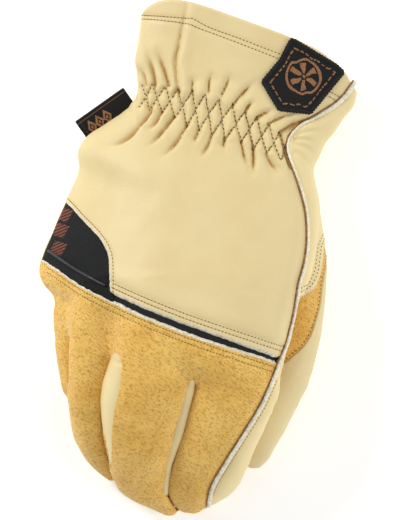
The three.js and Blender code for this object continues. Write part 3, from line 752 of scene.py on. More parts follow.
class Layout:
    """Where each seam and edge runs, as distances that are negative on the piece's side.

    Attributes:
        border_shift: How far the back's border lies right of the outseam below the wrist.
        border_dips: Depth, start and length of the border's dips beside the outseam.
        thumb_gain: How much nearer the thumb's tip counts to the thumb than to the hand.
        saddle_foot: Height of the saddle's lower side, and how much lower it is at the seam.
    """

    border_shift = 0.75
    border_dips = ((4.0, -12, 9), (6.0, -6, 3))
    thumb_gain = 14.0
    saddle_foot = (12.5, 10.0)

    def __init__(self, surface: Surface) -> None:
        """Reads what every field needs once for one surface."""
        self.x, self.y, self.z = surface.base.T
        self.up = surface.normal[:, 2]
        self.straight = self.y + SKEW * self.x
        self.station, self.across = hand_station(self.x, self.y)

    def parting(self) -> Points:
        """Height at which the back meets the palm."""
        hand = hand_middle(self.straight, self.across)
        order = (LITTLE, RING, MIDDLE, INDEX)
        centre = np.stack([rows.read("x", self.y) for rows in order])
        height = np.stack([rows.read("z", self.y) for rows in order])
        which = (self.x > centre[1]).astype(int) + (self.x > centre[2]).astype(int)
        n = np.arange(len(self.x))
        x0, x1 = centre[which, n], centre[which + 1, n]
        share = np.clip((self.x - x0) / (x1 - x0), 0, 1)
        finger = height[which, n] + (height[which + 1, n] - height[which, n]) * share
        return hand + (finger - hand) * eased((-30 - self.straight) / 20)

    def past_seam(self) -> Points:
        """Distance past the outseam on the thumb side."""
        return (self.x - SEAM.read("x", self.straight)) * SEAM_SLOPE

    def off_back(self) -> Points:
        """Distance outside the back of the glove."""
        past = self.past_seam() - self.border_shift * eased((20 - self.y) / 40)
        dips = [depth * eased((past - at) / length) for depth, at, length in self.border_dips]
        return np.maximum(past, self.parting() - sum(dips) - self.z)

    def past_cuff(self) -> Points:
        """Distance past the cuff's edge."""
        return self.station - CUFF_STATION

    def over_slot(self, offset: float) -> Points:
        """Distance above a line that follows the slot."""
        return (self.straight - SLOT.read("station", self.x) - offset) * SLOT_SLOPE

    def right_of_tape(self) -> Points:
        """Distance past the edge of the back leather around the woven tape."""
        distance, side, _ = off_path(self.x, self.y, smooth_path(TAPE_EDGE, 1.5))
        return distance * side

    def off_thumb(self) -> Points:
        """Distance outside the part of the thumb below the palm leather."""
        hand = hand_distance(self.x, self.y, self.z)
        hand = blended(hand, fingers_distance(self.x, self.y, self.z), JOINS.hand)
        nearer = tube_distance(THUMB, self.x, self.y, self.z) - hand
        nearer -= self.thumb_gain * eased((self.y + 54) / 10) * eased((self.z - 3) / 5)
        return np.maximum(nearer, mound_side(self.x, self.y))

    def past_saddle(self) -> Points:
        """Distance past the lower edge of the suede saddle, or under it."""
        distance, side, _ = off_path(self.x, self.y, smooth_path(SADDLE_EDGE, 1.5))
        foot, less = self.saddle_foot
        low = foot - less * (1 - eased((self.past_seam() - 4) / 4))
        return np.maximum(distance * side, low - self.z)


@dataclass(frozen=True)
class PalmCrease:
    """A crease across the palm side: its station, its depth and its width."""

    station: float
    depth: float
    width: float


PALM_CREASES = (
    PalmCrease(62, 1.0, 3.0),
    PalmCrease(30, 0.6, 4.0),
    PalmCrease(-14, 0.9, 3.0),
    PalmCrease(-46, 1.1, 3.0),
    PalmCrease(-84, 0.8, 2.5),
)


@dataclass
class Relief:
    """Folds, gathers, creases and the pull of the seams, as heights over the plain form."""

    gather_depth: float = 3.0
    puff_height: float = 2.8
    puff_sink: float = 1.5  # how far the whole shirred band lies below the plain form
    swelling: float = 0.5  # of the leather beside the band
    wrinkle: float = 0.42
    cuff_crease: float = 2.2
    cuff_roll: float = 1.3  # beside that crease
    side_crease: float = 1.1
    stitch_pull: float = 0.45
    seam_pull: float = 1.1
    back_rows: tuple[float, float] = (4.4, 6.9)  # distances from the slot
    suede_rows: tuple[float, float] = (4.0, 6.4)

    def heights(self, surface: Surface) -> Points:
        """Height of every fold at each point, in millimetres, positive outward."""
        layout = Layout(surface)
        top = eased((layout.up + 0.1) / 0.35) * (layout.z > layout.parting() - 2)
        total = top * self.wrist(layout) + top * self.seams(layout)
        total += self.limp(surface.base, layout)
        return total + self.parting_pull(layout) + self.under_creases(layout)

    def wrist(self, layout: Layout) -> Points:
        """The shirred band, its gathers and the folds of the cuff."""
        x, y = layout.x, layout.y
        total = np.zeros(len(x))
        near = (layout.straight > 25) & (layout.past_seam() < 2)
        px, py = x[near], y[near]
        band = inside_outline(px, py, BAND_TOPS + BAND_FEET[::-1])
        within = eased((1.5 - band) / 3.0)
        threads = [off_path(px, py, np.array(line))[0] for line in shirring_lines()]
        thread = np.minimum(*threads)
        puffs = self.puff_height * (1 - 0.6 * bell(thread, 1.7) - 0.4 * bell(thread, 0.7))
        part = within * (puffs - self.puff_sink)
        around = eased((24 - band) / 22)
        part += self.swelling * around * (1 - within)
        fine = np.stack([px / 2.4 + py / 9.0, py / 11.0, np.zeros(len(px))], axis=1)
        part += self.wrinkle * around * lattice_noise(fine, 1.0, 31)
        for path in VALLEYS_OVER + VALLEYS_UNDER:
            distance, side, share = off_path(px, py, smooth_path(path, 2.0))
            fade = eased((1 - share) / 0.6)
            outside = eased((band + 2.5) / 2.5)
            lean = np.where(distance * side > 0, 0.8, 1.9)
            width = 1.0 + 1.5 * share
            sharp = 0.45 * bell(distance, 0.5 * width) + 0.55 * bell(distance, lean * width)
            part -= self.gather_depth * fade * outside * sharp
        distance, side, share = off_path(px, py, smooth_path(CUFF_CREASE, 2.0))
        across = distance * side
        part -= self.cuff_crease * bell(across - 0.3, 1.1) * eased(1.3 - share)
        part += self.cuff_roll * bell(across + 3.4, 2.8) * eased(1.4 - share)
        total[near] = part
        return total

    def seams(self, layout: Layout) -> Points:
        """How the sewn rows and seams draw the leather in."""
        x, y = layout.x, layout.y
        seam = np.abs(layout.past_seam())
        total = -self.seam_pull * bell(seam, 2.0) * np.clip(layout.up, 0, 1)
        total += 0.5 * bell(seam - 5.0, 3.0)
        distance, side, _ = off_path(x, y, smooth_path(SADDLE_RIDGE, 2.0))
        low = eased((32 - layout.z) / 4) * (layout.up > 0)
        total += low * (1.1 * bell(distance, 1.8) - 0.9 * bell(distance * side + 4.0, 2.2))
        beyond = layout.past_seam() > 1.5
        for path in SIDE_CREASES:
            distance, _, share = off_path(x, y, smooth_path(path, 2.0))
            total -= self.side_crease * bell(distance, 0.9) * eased((1 - share) / 0.7) * beyond
        for path in HEM_ROWS:
            total -= self.stitch_pull * bell(off_path(x, y, smooth_path(path, 3.0))[0], 1.0)
        slot = layout.over_slot(0)
        right = eased((x + 46) / 2)
        for row in self.back_rows:
            total -= self.stitch_pull * bell(slot - row, 0.9) * right
        for row in self.suede_rows:
            total -= self.stitch_pull * bell(slot + row, 0.9)
        total += 0.35 * bell(slot - 11, 3.5) * right
        total -= self.stitch_pull * bell(layout.right_of_tape() - 2.2, 0.9) * (slot > 0)
        return total

    def limp(self, base: Points, layout: Layout) -> Points:
        """Soft unevenness of leather that holds no hand."""
        total = 0.55 * lattice_noise(base, 26.0, 3) + 0.22 * lattice_noise(base, 9.0, 5)
        suede = eased((-32 - layout.straight) / 6)
        total += suede * 0.28 * lattice_noise(base * [1, 2.2, 1], 9.0, 7)
        hollow = bell(layout.straight - 4, 26) * bell(layout.across - 0.25, 0.42)
        return total - 0.8 * hollow

    def parting_pull(self, layout: Layout) -> Points:
        """The seam between back and palm along the little finger side and the fingertips."""
        gap = np.abs(layout.z - layout.parting())
        side = layout.past_seam() < -2
        return np.where(side, -0.6 * bell(gap, 1.3) + 0.25 * bell(gap - 3.5, 2.0), 0.0)

    def under_creases(self, layout: Layout) -> Points:
        """Creases across the palm side, where the hand bends."""
        under = eased((-0.1 - layout.up) / 0.4)
        total = np.zeros(len(layout.x))
        for crease in PALM_CREASES:
            wave = 4 * np.sin(layout.x / 17.0 + crease.station)
            away = layout.straight - crease.station - wave
            total -= crease.depth * bell(away, crease.width)
        return total * under


def shirring_lines() -> list[Path]:
    """The two zigzag rows that meet halfway and make diamonds."""
    tops, feet = np.array(BAND_TOPS), np.array(BAND_FEET)
    middle = (tops + feet) / 2
    halfway = (middle[1:] + middle[:-1]) / 2
    rows = []
    for ends in (tops, feet):
        line = [tuple(ends[0])]
        for k in range(len(halfway)):
            line += [tuple(halfway[k]), tuple(ends[k + 1])]
        rows.append(line)
    return rows


# Shells and strips


def boundary_of(faces: Points) -> Points:
    """Edges that only one triangle has, in the direction that triangle runs."""
    directed = sides_of(faces)
    top = int(faces.max()) + 1
    forward = directed[:, 0].astype(np.int64) * top + directed[:, 1]
    backward = directed[:, 1].astype(np.int64) * top + directed[:, 0]
    return directed[~np.isin(forward, backward)]


@dataclass
class Solid:
    """Triangles ready to become a Blender mesh, each with a material number."""

    points: Points
    faces: Points
    materials: Points
    values: dict[str, Points] = field(default_factory=dict)

    def weave(self, motif: Points, across: Points, along: Points) -> None:
        """Gives the first points their share of a woven motif and their place on the cloth."""
        every = np.zeros(len(self.points))
        every[: len(motif)] = motif
        cloth = np.zeros((len(self.points), 3))
        cloth[: len(motif), 0] = across
        cloth[: len(motif), 1] = along
        self.values.update({"motif": every, "cloth": cloth})


def shelled(
    surface: Surface,
    thickness: Points | float,
    level: float = 0.0,
    reach: Points | float = 0.0,
    roundness: Points | float = 0.2,
) -> Solid:
    """Gives a surface its thickness and its edges.

    Args:
        surface: The piece's upper side.
        thickness: Thickness, the same everywhere or one for each point.
        level: Height of the upper side over the surface.
        reach: How far the underside stands out past the upper side at the edge.
        roundness: Bulge of the edge, as a share of the thickness.

    Returns:
        A closed solid with materials 0 outside, 1 on a slanted raw edge and 2 inside.
    """
    rim = boundary_of(surface.faces)
    count = len(surface.point)
    thickness, reach, roundness = (
        np.broadcast_to(value, count) for value in (thickness, reach, roundness)
    )
    run = surface.point[rim[:, 1]] - surface.point[rim[:, 0]]
    sideways = [unit(np.cross(run, surface.normal[end])) for end in rim.T]
    out = unit(sum(gathered(end, side, count) for end, side in zip(rim.T, sideways)))
    upper = surface.point + surface.normal * level
    lower = upper - surface.normal * thickness[:, None] + out * reach[:, None]
    edge = np.unique(rim)
    number = np.full(count, -1)
    number[edge] = np.arange(len(edge))
    rings = [edge]
    points = [upper, lower]
    start = 2 * count
    for share, bulge in EDGE_RINGS:
        down = thickness[edge] * share
        outward = reach[edge] * share + roundness[edge] * thickness[edge] * bulge
        middle = upper[edge] - surface.normal[edge] * down[:, None]
        points.append(middle + out[edge] * outward[:, None])
        rings.append(start + np.arange(len(edge)))
        start += len(edge)
    rings.append(count + edge)
    a, b = number[rim[:, 0]], number[rim[:, 1]]
    sides, marks = [], []
    mark = np.where(reach[rim[:, 0]] > LEAST_RAW_REACH, 1, 0)
    for near, far in zip(rings, rings[1:]):
        sides.append(np.stack([near[b], near[a], far[a]], 1))
        sides.append(np.stack([near[b], far[a], far[b]], 1))
        marks += [mark, mark]
    faces = np.concatenate([surface.faces, surface.faces[:, ::-1] + count] + sides)
    materials = np.concatenate(
        [np.zeros(len(surface.faces), int), np.full(len(surface.faces), 2)] + marks
    )
    # height of the folds along the normal; the grain leather's material paints shade from it into
    # the hollows
    fold = np.einsum("ij,ij->i", surface.point - surface.base, surface.normal)
    every = np.concatenate([fold, fold, fold[edge], fold[edge]])
    return Solid(np.vstack(points), faces, materials, {"fold": every})


def swept(line: Points, up: Points, section: Points, closed: bool = False) -> Solid:
    """A strip with one section all along a line.

    Args:
        line: Points in millimetres.
        up: Direction of the section's height at each point.
        section: Rows of side and height, anticlockwise. It may hold one set for each point.
        closed: Whether the line comes back to its start.

    Returns:
        A closed solid.
    """
    if closed:
        ahead = np.roll(line, -1, axis=0) - np.roll(line, 1, axis=0)
    else:
        ahead = np.gradient(line, axis=0)
    ahead = unit(ahead)
    side = unit(np.cross(up, ahead))
    high = unit(np.cross(ahead, side))
    if section.ndim == 2:
        section = np.broadcast_to(section, (len(line),) + section.shape)
    rings = (
        line[:, None, :]
        + side[:, None, :] * section[:, :, :1]
        + high[:, None, :] * section[:, :, 1:]
    )
    n, m = rings.shape[:2]
    last = n if closed else n - 1
    i, j = np.meshgrid(np.arange(last), np.arange(m), indexing="ij")
    a = (i * m + j).ravel()
    b = (i * m + (j + 1) % m).ravel()
    c = (((i + 1) % n) * m + j).ravel()
    d = (((i + 1) % n) * m + (j + 1) % m).ravel()
    faces = [np.stack([a, c, b], 1), np.stack([b, c, d], 1)]
    if not closed:
        fan = np.arange(1, m - 1)
        faces.append(np.stack([np.zeros_like(fan), fan, fan + 1], 1))
        end = (n - 1) * m
        faces.append(np.stack([np.full_like(fan, end), end + fan + 1, end + fan], 1))
    every = np.concatenate(faces)
    points = rings.reshape(-1, 3)
    p, q, r = (points[every[:, k]] for k in range(3))
    if np.einsum("ij,ij->i", p, np.cross(q, r)).sum() < 0:
        every = every[:, ::-1]
    return Solid(points, every, np.zeros(len(every), int))


def oval(half_width: float, half_height: float, sides: int = 8) -> Points:
    """Section of a round strip."""
    angle = np.arange(sides) * 2 * math.pi / sides
    return np.stack([half_width * np.cos(angle), half_height * np.sin(angle)], axis=1)


class Ground:
    """The glove's finished surface, on which trims and stitches are laid."""

    sky = 100.0
    layers = 6
    least_up = 0.02
    skin = 0.05

    def __init__(self, surface: Surface) -> None:
        """Prepares the search for the surface under a plan point."""
        self.tree = BVHTree.FromPolygons(surface.point.tolist(), surface.faces.tolist())

    def lay(self, plan: Points, lift: float) -> tuple[Points, Points]:
        """Puts a plan line on the surface, from above.

        Args:
            plan: Rows of x and y in millimetres.
            lift: Height over the surface.

        Returns:
            The points that met the surface and its normals there.
        """
        places, normals = [], []
        for x, y in plan:
            height = self.sky
            for _ in range(self.layers):
                hit, normal, _, _ = self.tree.ray_cast(Vector((x, y, height)), Vector((0, 0, -1)))
                if hit is None:
                    break
                if normal.z > self.least_up:
                    places.append(np.array(hit))
                    normals.append(np.array(normal))
                    break
                height = hit.z - self.skin
        if not places:
            return np.zeros((0, 3)), np.zeros((0, 3))
        place, normal = np.array(places), np.array(normals)
        if len(normal) > 4:
            normal = unit(averaged(normal, 2))
        return place + normal * lift, normal


# Finishes


def linear(red: int, green: int, blue: int) -> Colour:
    """A screen colour as Blender's own values."""
    made = []
    for part in (red, green, blue):
        share = part / 255
        made.append(share / 12.92 if share <= 0.04045 else ((share + 0.055) / 1.055) ** 2.4)
    return (made[0], made[1], made[2], 1.0)


class Nodes:
    """A short way to lay out shader nodes."""

    def __init__(self, tree: bpy.types.NodeTree) -> None:
        """Keeps the tree that the nodes go in."""
        self.tree = tree

    def add(self, kind: str, inputs: dict | None = None, **settings: object) -> bpy.types.Node:
        """Adds a node.

        Args:
            kind: Blender's name of the node type.
            inputs: Values or output sockets by input name or number.
            **settings: Properties of the node.

        Returns:
            The node.
        """
        node = self.tree.nodes.new(kind)
        for name, value in settings.items():
            setattr(node, name, value)
        self.feed(node, inputs or {})
        return node

    def feed(self, node: bpy.types.Node, inputs: dict) -> None:
        """Sets a node's inputs to values, or joins them to output sockets."""
        for key, value in inputs.items():
            if isinstance(value, Socket):
                self.tree.links.new(value, node.inputs[key])
            else:
                node.inputs[key].default_value = value

    def mixed(self, share: object, a: object, b: object) -> Socket:
        """Colour between two colours."""
        return self.add("ShaderNodeMix", {0: share, 6: a, 7: b}, data_type="RGBA").outputs[2]

    def sum(self, operation: str, a: object, b: object = 0.0, c: object = 0.0) -> Socket:
        """One step of arithmetic."""
        return self.add("ShaderNodeMath", {0: a, 1: b, 2: c}, operation=operation).outputs[0]

    def ranged(
        self, value: object, low: float, high: float, to_low: float, to_high: float
    ) -> Socket:
        """A value moved smoothly from one range to another."""
        inputs = {0: value, 1: low, 2: high, 3: to_low, 4: to_high}
        node = self.add("ShaderNodeMapRange", inputs, interpolation_type="SMOOTHSTEP")
        return node.outputs[0]

    def noise(self, vector: object, scale: object, detail: float, **more: float) -> Socket:
        """Soft noise.

        Args:
            vector: Where it is read.
            scale: How fine it is.
            detail: How many finer layers it has.
            **more: Other inputs by name.

        Returns:
            Its value, about 0 to 1.
        """
        inputs = {"Vector": vector, "Scale": scale, "Detail": detail, **more}
        return self.add("ShaderNodeTexNoise", inputs).outputs["Fac"]

    def bump(self, strength: float, distance: float, height: Socket) -> Socket:
        """Normals that follow a height."""
        inputs = {"Strength": strength, "Distance": distance, "Height": height}
        return self.add("ShaderNodeBump", inputs).outputs["Normal"]

    def place(self) -> Socket:
        """Where the shaded point lies on its piece."""
        return self.add("ShaderNodeTexCoord").outputs["Object"]

    def value(self, name: str, part: str = "Fac") -> Socket:
        """A value that the mesh carries."""
        return self.add("ShaderNodeAttribute", attribute_name=name).outputs[part]

    def group(self, tree: bpy.types.NodeTree, **inputs: object) -> bpy.types.Node:
        """A shared group with its inputs by name."""
        return self.add("ShaderNodeGroup", inputs, node_tree=tree)


def new_group(name: str, inputs: dict[str, float], outputs: tuple[str, ...]) -> tuple:
    """An empty shader node group that reads a vector and some numbers.

    Args:
        name: The group's name.
        inputs: Default value of each number, by its name.
        outputs: Names of its outputs, all numbers.

    Returns:
        The group, its input node, its output node and the helper for its nodes.
    """
    group = bpy.data.node_groups.new(name, "ShaderNodeTree")
    sockets = group.interface
    sockets.new_socket("Vector", in_out="INPUT", socket_type="NodeSocketVector")
    for label, value in inputs.items():
        socket = sockets.new_socket(label, in_out="INPUT", socket_type="NodeSocketFloat")
        socket.default_value = value
    for label in outputs:
        sockets.new_socket(label, in_out="OUTPUT", socket_type="NodeSocketFloat")
    nodes = Nodes(group)
    return group, nodes.add("NodeGroupInput"), nodes.add("NodeGroupOutput"), nodes


def pebble_group() -> bpy.types.NodeTree:
    """Fine grain of leather: a height and a tone."""
    group, start, end, nodes = new_group(
        "Leather grain", {"Pebbles": 900.0, "Creases": 160.0}, ("Height", "Tone")
    )
    vector = start.outputs["Vector"]
    inputs = {"Vector": vector, "Scale": start.outputs["Pebbles"]}
    pebbles = nodes.add("ShaderNodeTexVoronoi", inputs, feature="SMOOTH_F1").outputs["Distance"]
    creases = nodes.noise(vector, start.outputs["Creases"], 5.0, Distortion=0.6)
    tone = nodes.noise(vector, 38.0, 4.0)
    height = nodes.sum("MULTIPLY_ADD", pebbles, 0.45, creases)
    nodes.feed(end, {"Height": height, "Tone": tone})
    return group


def nap_group() -> bpy.types.NodeTree:
    """Brushed nap of suede: a height, a broad tone and small dark flecks."""
    group, start, end, nodes = new_group(
        "Suede nap", {"Size": 1.0}, ("Height", "Tone", "Flecks")
    )
    vector = start.outputs["Vector"]
    brushed = nodes.add(
        "ShaderNodeMapping",
        {"Vector": vector, "Rotation": (0.0, 0.0, -0.66), "Scale": (1.5, 0.6, 1.0)},
        vector_type="TEXTURE",
    ).outputs["Vector"]
    size = start.outputs["Size"]
    fine = nodes.noise(brushed, nodes.sum("MULTIPLY", size, 2200.0), 2.0)
    curls = nodes.noise(brushed, nodes.sum("MULTIPLY", size, 900.0), 2.0, Roughness=0.6)
    tone = nodes.noise(vector, 55.0, 6.0, Roughness=0.65)
    height = nodes.sum("MULTIPLY_ADD", fine, 0.6, curls)
    flecks = nodes.ranged(curls, 0.32, 0.54, 1.0, 0.0)
    nodes.feed(end, {"Height": height, "Tone": tone, "Flecks": flecks})
    return group


def weave_group() -> bpy.types.NodeTree:
    """Ribbed weave: a height that follows a piece's own map."""
    group, start, end, nodes = new_group(
        "Ribbed weave", {"Ribs": 1.0, "Threads": 3.0}, ("Height",)
    )
    parts = nodes.add("ShaderNodeSeparateXYZ", {"Vector": start.outputs["Vector"]})
    turns = []
    for part, rate in (("X", "Ribs"), ("Y", "Threads")):
        angle = nodes.sum("MULTIPLY", parts.outputs[part], start.outputs[rate])
        turns.append(nodes.sum("ABSOLUTE", nodes.sum("SINE", angle)))
    height = nodes.sum("MULTIPLY_ADD", turns[1], 0.3, turns[0])
    nodes.feed(end, {"Height": height})
    return group


class Groups:
    """The shared shader groups, built once."""

    def __init__(self) -> None:
        """Builds every group."""
        self.pebble = pebble_group()
        self.nap = nap_group()
        self.weave = weave_group()


def start_material(name: str) -> tuple[bpy.types.Material, Nodes, bpy.types.Node]:
    """An empty material with its shader."""
    material = bpy.data.materials.new(name)
    material.use_nodes = True
    nodes = Nodes(material.node_tree)
    shader = material.node_tree.nodes["Principled BSDF"]
    return material, nodes, shader


@dataclass(frozen=True)
class GrainFinish:
    """Smooth grain leather, with shade painted into the hollows of its folds."""

    name: str
    light: Colour
    # dark is the darker grain tone and also the shade painted into fold hollows
    dark: Colour
    roughness: float = 0.5
    bump: float = 0.22

    def build(self, groups: Groups) -> bpy.types.Material:
        """Makes the material."""
        material, nodes, shader = start_material(self.name)
        grain = nodes.group(groups.pebble, Vector=nodes.place())
        # painted shade: the deeper the fold's hollow, the nearer the colour comes to the dark
        # colour
        painted_fold_shade = nodes.ranged(nodes.value("fold"), -3.2, -0.5, 1.0, 0.0)
        tone = nodes.ranged(grain.outputs["Tone"], 0.35, 0.7, 0.0, 0.1)
        share = nodes.sum("MAXIMUM", nodes.sum("MULTIPLY", painted_fold_shade, 0.85), tone)
        colour = nodes.mixed(share, self.light, self.dark)
        inputs = {
            "Base Color": colour,
            "Normal": nodes.bump(self.bump, 0.0006, grain.outputs["Height"]),
            "Roughness": self.roughness,
            "Specular IOR Level": 0.35,
        }
        nodes.feed(shader, inputs)
        return material


@dataclass(frozen=True)
class SuedeFinish:
    """Brushed split leather."""

    name: str
    light: Colour
    middle: Colour
    dark: Colour
    bump: float = 0.6

    def build(self, groups: Groups) -> bpy.types.Material:
        """Makes the material."""
        material, nodes, shader = start_material(self.name)
        nap = nodes.group(groups.nap, Vector=nodes.place())
        tone = nodes.ranged(nap.outputs["Tone"], 0.3, 0.7, 0.0, 0.7)
        colour = nodes.mixed(tone, self.light, self.middle)
        colour = nodes.mixed(nodes.sum("MULTIPLY", nap.outputs["Flecks"], 0.62), colour, self.dark)
        inputs = {
            "Base Color": colour,
            "Normal": nodes.bump(self.bump, 0.0007, nap.outputs["Height"]),
            "Roughness": 0.95,
            "Specular IOR Level": 0.15,
            "Sheen Weight": 0.25,
            "Sheen Roughness": 0.5,
        }
        nodes.feed(shader, inputs)
        return material


@dataclass(frozen=True)
class PlainFinish:
    """One colour with a little unevenness: thread, raw edge, piping, floor."""

    name: str
    light: Colour
    dark: Colour
    roughness: float
    size: float = 900.0
    bump: float = 0.4
    glow: float = 0.0

    def build(self, groups: Groups) -> bpy.types.Material:
        """Makes the material."""
        material, nodes, shader = start_material(self.name)
        noise = nodes.noise(nodes.place(), self.size, 3.0)
        share = nodes.ranged(noise, 0.35, 0.65, 0.0, 1.0)
        inputs = {
            "Base Color": nodes.mixed(share, self.light, self.dark),
            "Roughness": self.roughness,
            "Emission Color": WHITE,
            "Emission Strength": self.glow,
        }
        if self.bump:
            inputs["Normal"] = nodes.bump(self.bump, 0.0005, noise)
        nodes.feed(shader, inputs)
        return material


@dataclass(frozen=True)
class WovenFinish:
    """Black ribbed webbing or label cloth with a coloured motif woven in."""

    name: str
    ground: Colour
    motif: Colour
    ribs: float
    threads: float
    bump: float = 0.5

    def build(self, groups: Groups) -> bpy.types.Material:
        """Makes the material."""
        material, nodes, shader = start_material(self.name)
        cloth = nodes.value("cloth", "Vector")
        weave = nodes.group(groups.weave, Vector=cloth, Ribs=self.ribs, Threads=self.threads)
        mask = nodes.value("motif")
        worn = nodes.ranged(nodes.noise(nodes.place(), 1400.0, 2.0), 0.3, 0.7, 0.55, 1.0)
        ink = nodes.sum("MULTIPLY", nodes.ranged(mask, 0.35, 0.65, 0.0, 1.0), worn)
        height = nodes.sum("MULTIPLY_ADD", mask, 0.8, weave.outputs["Height"])
        inputs = {
            "Base Color": nodes.mixed(ink, self.ground, self.motif),
            "Normal": nodes.bump(self.bump, 0.0004, height),
            "Roughness": 0.75,
            "Specular IOR Level": 0.25,
        }
        nodes.feed(shader, inputs)
        return material


# The dark colour of each grain leather is its darker tone and the shade painted into its fold
# hollows.
GRAIN = GrainFinish("grain leather", linear(228, 208, 155), linear(188, 144, 78))
PALM_GRAIN = GrainFinish("palm leather", linear(237, 218, 163), linear(196, 154, 90))
SUEDE = SuedeFinish("suede", linear(249, 206, 113), linear(230, 177, 78), linear(168, 114, 46))
SADDLE_SUEDE = SuedeFinish(
    "saddle suede", linear(247, 200, 106), linear(232, 176, 82), linear(164, 108, 42)
)
RAW_EDGE = PlainFinish("raw leather edge", linear(233, 228, 209), linear(203, 195, 170), 0.95)
WELT_FUZZ = PlainFinish("pale fuzzy welt", linear(250, 245, 228), linear(222, 213, 188), 0.95)
# The brown edge of the welt's leather; lower down, where it narrows, it paints the shadow line
# beside the welt.
BROWN_EDGE_AND_SHADOW_LINE = PlainFinish("brown leather edge and painted shadow line", linear(182, 136, 72), linear(128, 90, 42), 0.95)
FLESH_SIDE = PlainFinish(
    "flesh side", linear(214, 190, 146), linear(188, 160, 112), roughness=1.0, size=500.0
)
BLACK_TRIM = PlainFinish(
    "black trim", linear(20, 20, 21), linear(7, 7, 8), roughness=0.85, size=2200.0, bump=0.8
)
PIPING = PlainFinish(
    "smooth piping", linear(44, 44, 46), linear(26, 26, 28), roughness=0.35, bump=0.1
)
TAPE_CLOTH = WovenFinish(
    "woven tape", linear(18, 20, 19), linear(136, 76, 56), ribs=2.73, threads=0.0
)
LABEL_CLOTH = WovenFinish(
    "label cloth", linear(22, 21, 21), linear(164, 116, 78), ribs=5.0, threads=5.0, bump=0.35
)
GOLD_THREAD = PlainFinish(
    "tan thread", linear(196, 158, 96), linear(164, 124, 66), 0.6, size=1500.0, bump=0.0
)
DARK_THREAD = PlainFinish(
    "brown thread", linear(92, 64, 30), linear(64, 42, 18), 0.6, size=1500.0, bump=0.0
)
# Dark beads set between the tan stitches: painted shade in the stitch holes.
HOLE_SHADE = PlainFinish(
    "painted stitch hole shade", linear(122, 88, 40), linear(92, 64, 28), 0.7, size=1500.0, bump=0.0
)
FLOOR = PlainFinish(
    "floor", linear(252, 252, 252), linear(250, 250, 250), 0.9, size=2.0, bump=0.0, glow=0.3
)
Finish = GrainFinish | SuedeFinish | PlainFinish | WovenFinish


# What each piece is called and made of


class MaterialSlot(Enum):
    """Material slots of the record."""

    BACK_LEATHER = "back_leather"
    PALM_LEATHER = "palm_leather"
    SPLIT_LEATHER = "split_leather"
    STRIP_LEATHER = "strip_leather"
    SLOT_FABRIC = "slot_fabric"
    TAPE_FABRIC = "tape_fabric"
    PIPING_FABRIC = "piping_fabric"
    RAW_EDGE = "raw_edge"
    PATCH_FABRIC = "patch_fabric"
    TAB_FABRIC = "tab_fabric"


@dataclass(frozen=True)
class Piece:
    """One finished piece of the glove.

    Attributes:
        name: Its name in the scene.
        slot: The record's material slot. Not used.
        finishes: Its finishes, in the order of the mesh's material numbers.
        nodes: The solids that it stands for.
    """

    name: str
    slot: MaterialSlot
    finishes: tuple[Finish, ...]
    nodes: tuple[str, ...] = ()


def leather(face: Finish) -> tuple[Finish, ...]:
    """Finishes of a leather shell: its face, its raw edge and its inner side."""
    return (face, RAW_EDGE, FLESH_SIDE)


PALM = Piece("palm_side", MaterialSlot.PALM_LEATHER, leather(PALM_GRAIN), ("palm_panel",))
BACK = Piece("back_side", MaterialSlot.BACK_LEATHER, leather(GRAIN), ("back_panel",))
KNUCKLES = Piece("knuckle_suede", MaterialSlot.SPLIT_LEATHER, leather(SUEDE), ("knuckle_panel",))
SADDLE = Piece("saddle", MaterialSlot.SPLIT_LEATHER, leather(SADDLE_SUEDE), ("thumb_saddle",))
STALL = Piece("thumb_leather", MaterialSlot.PALM_LEATHER, leather(GRAIN), ("thumb_stall",))
RIBBON = Piece("slot_ribbon", MaterialSlot.SLOT_FABRIC, (BLACK_TRIM,) * 3, ("slot_strip",))
TAPE = Piece("woven_tape", MaterialSlot.TAPE_FABRIC, (TAPE_CLOTH,) * 3, ("side_tape",))
MIDDLE_RING_STRIP = Piece(
    "strip_middle_ring",
    MaterialSlot.STRIP_LEATHER,
    (PALM_GRAIN,),
    ("fourchette_middle_ring", "fourchette_ring_little"),
)
INDEX_MIDDLE_STRIP = Piece(
    "strip_index_middle", MaterialSlot.STRIP_LEATHER, (PALM_GRAIN,), ("fourchette_index_middle",)
)
CORD = Piece("black_piping", MaterialSlot.PIPING_FABRIC, (PIPING,), ("tape_piping",))
WELT = Piece("pale_welt", MaterialSlot.RAW_EDGE, (WELT_FUZZ,), ("side_welt",))
BROWN_LINE = Piece("welt_brown_edge_and_shadow_line", MaterialSlot.RAW_EDGE, (BROWN_EDGE_AND_SHADOW_LINE,))
PATCH = Piece("patch", MaterialSlot.PATCH_FABRIC, (LABEL_CLOTH,) * 3, ("cuff_patch",))
BINDING = Piece("patch_binding", MaterialSlot.PATCH_FABRIC, (BLACK_TRIM,))
TAB = Piece("ribbon_tab", MaterialSlot.TAB_FABRIC, (LABEL_CLOTH,) * 3, ("side_tab",))


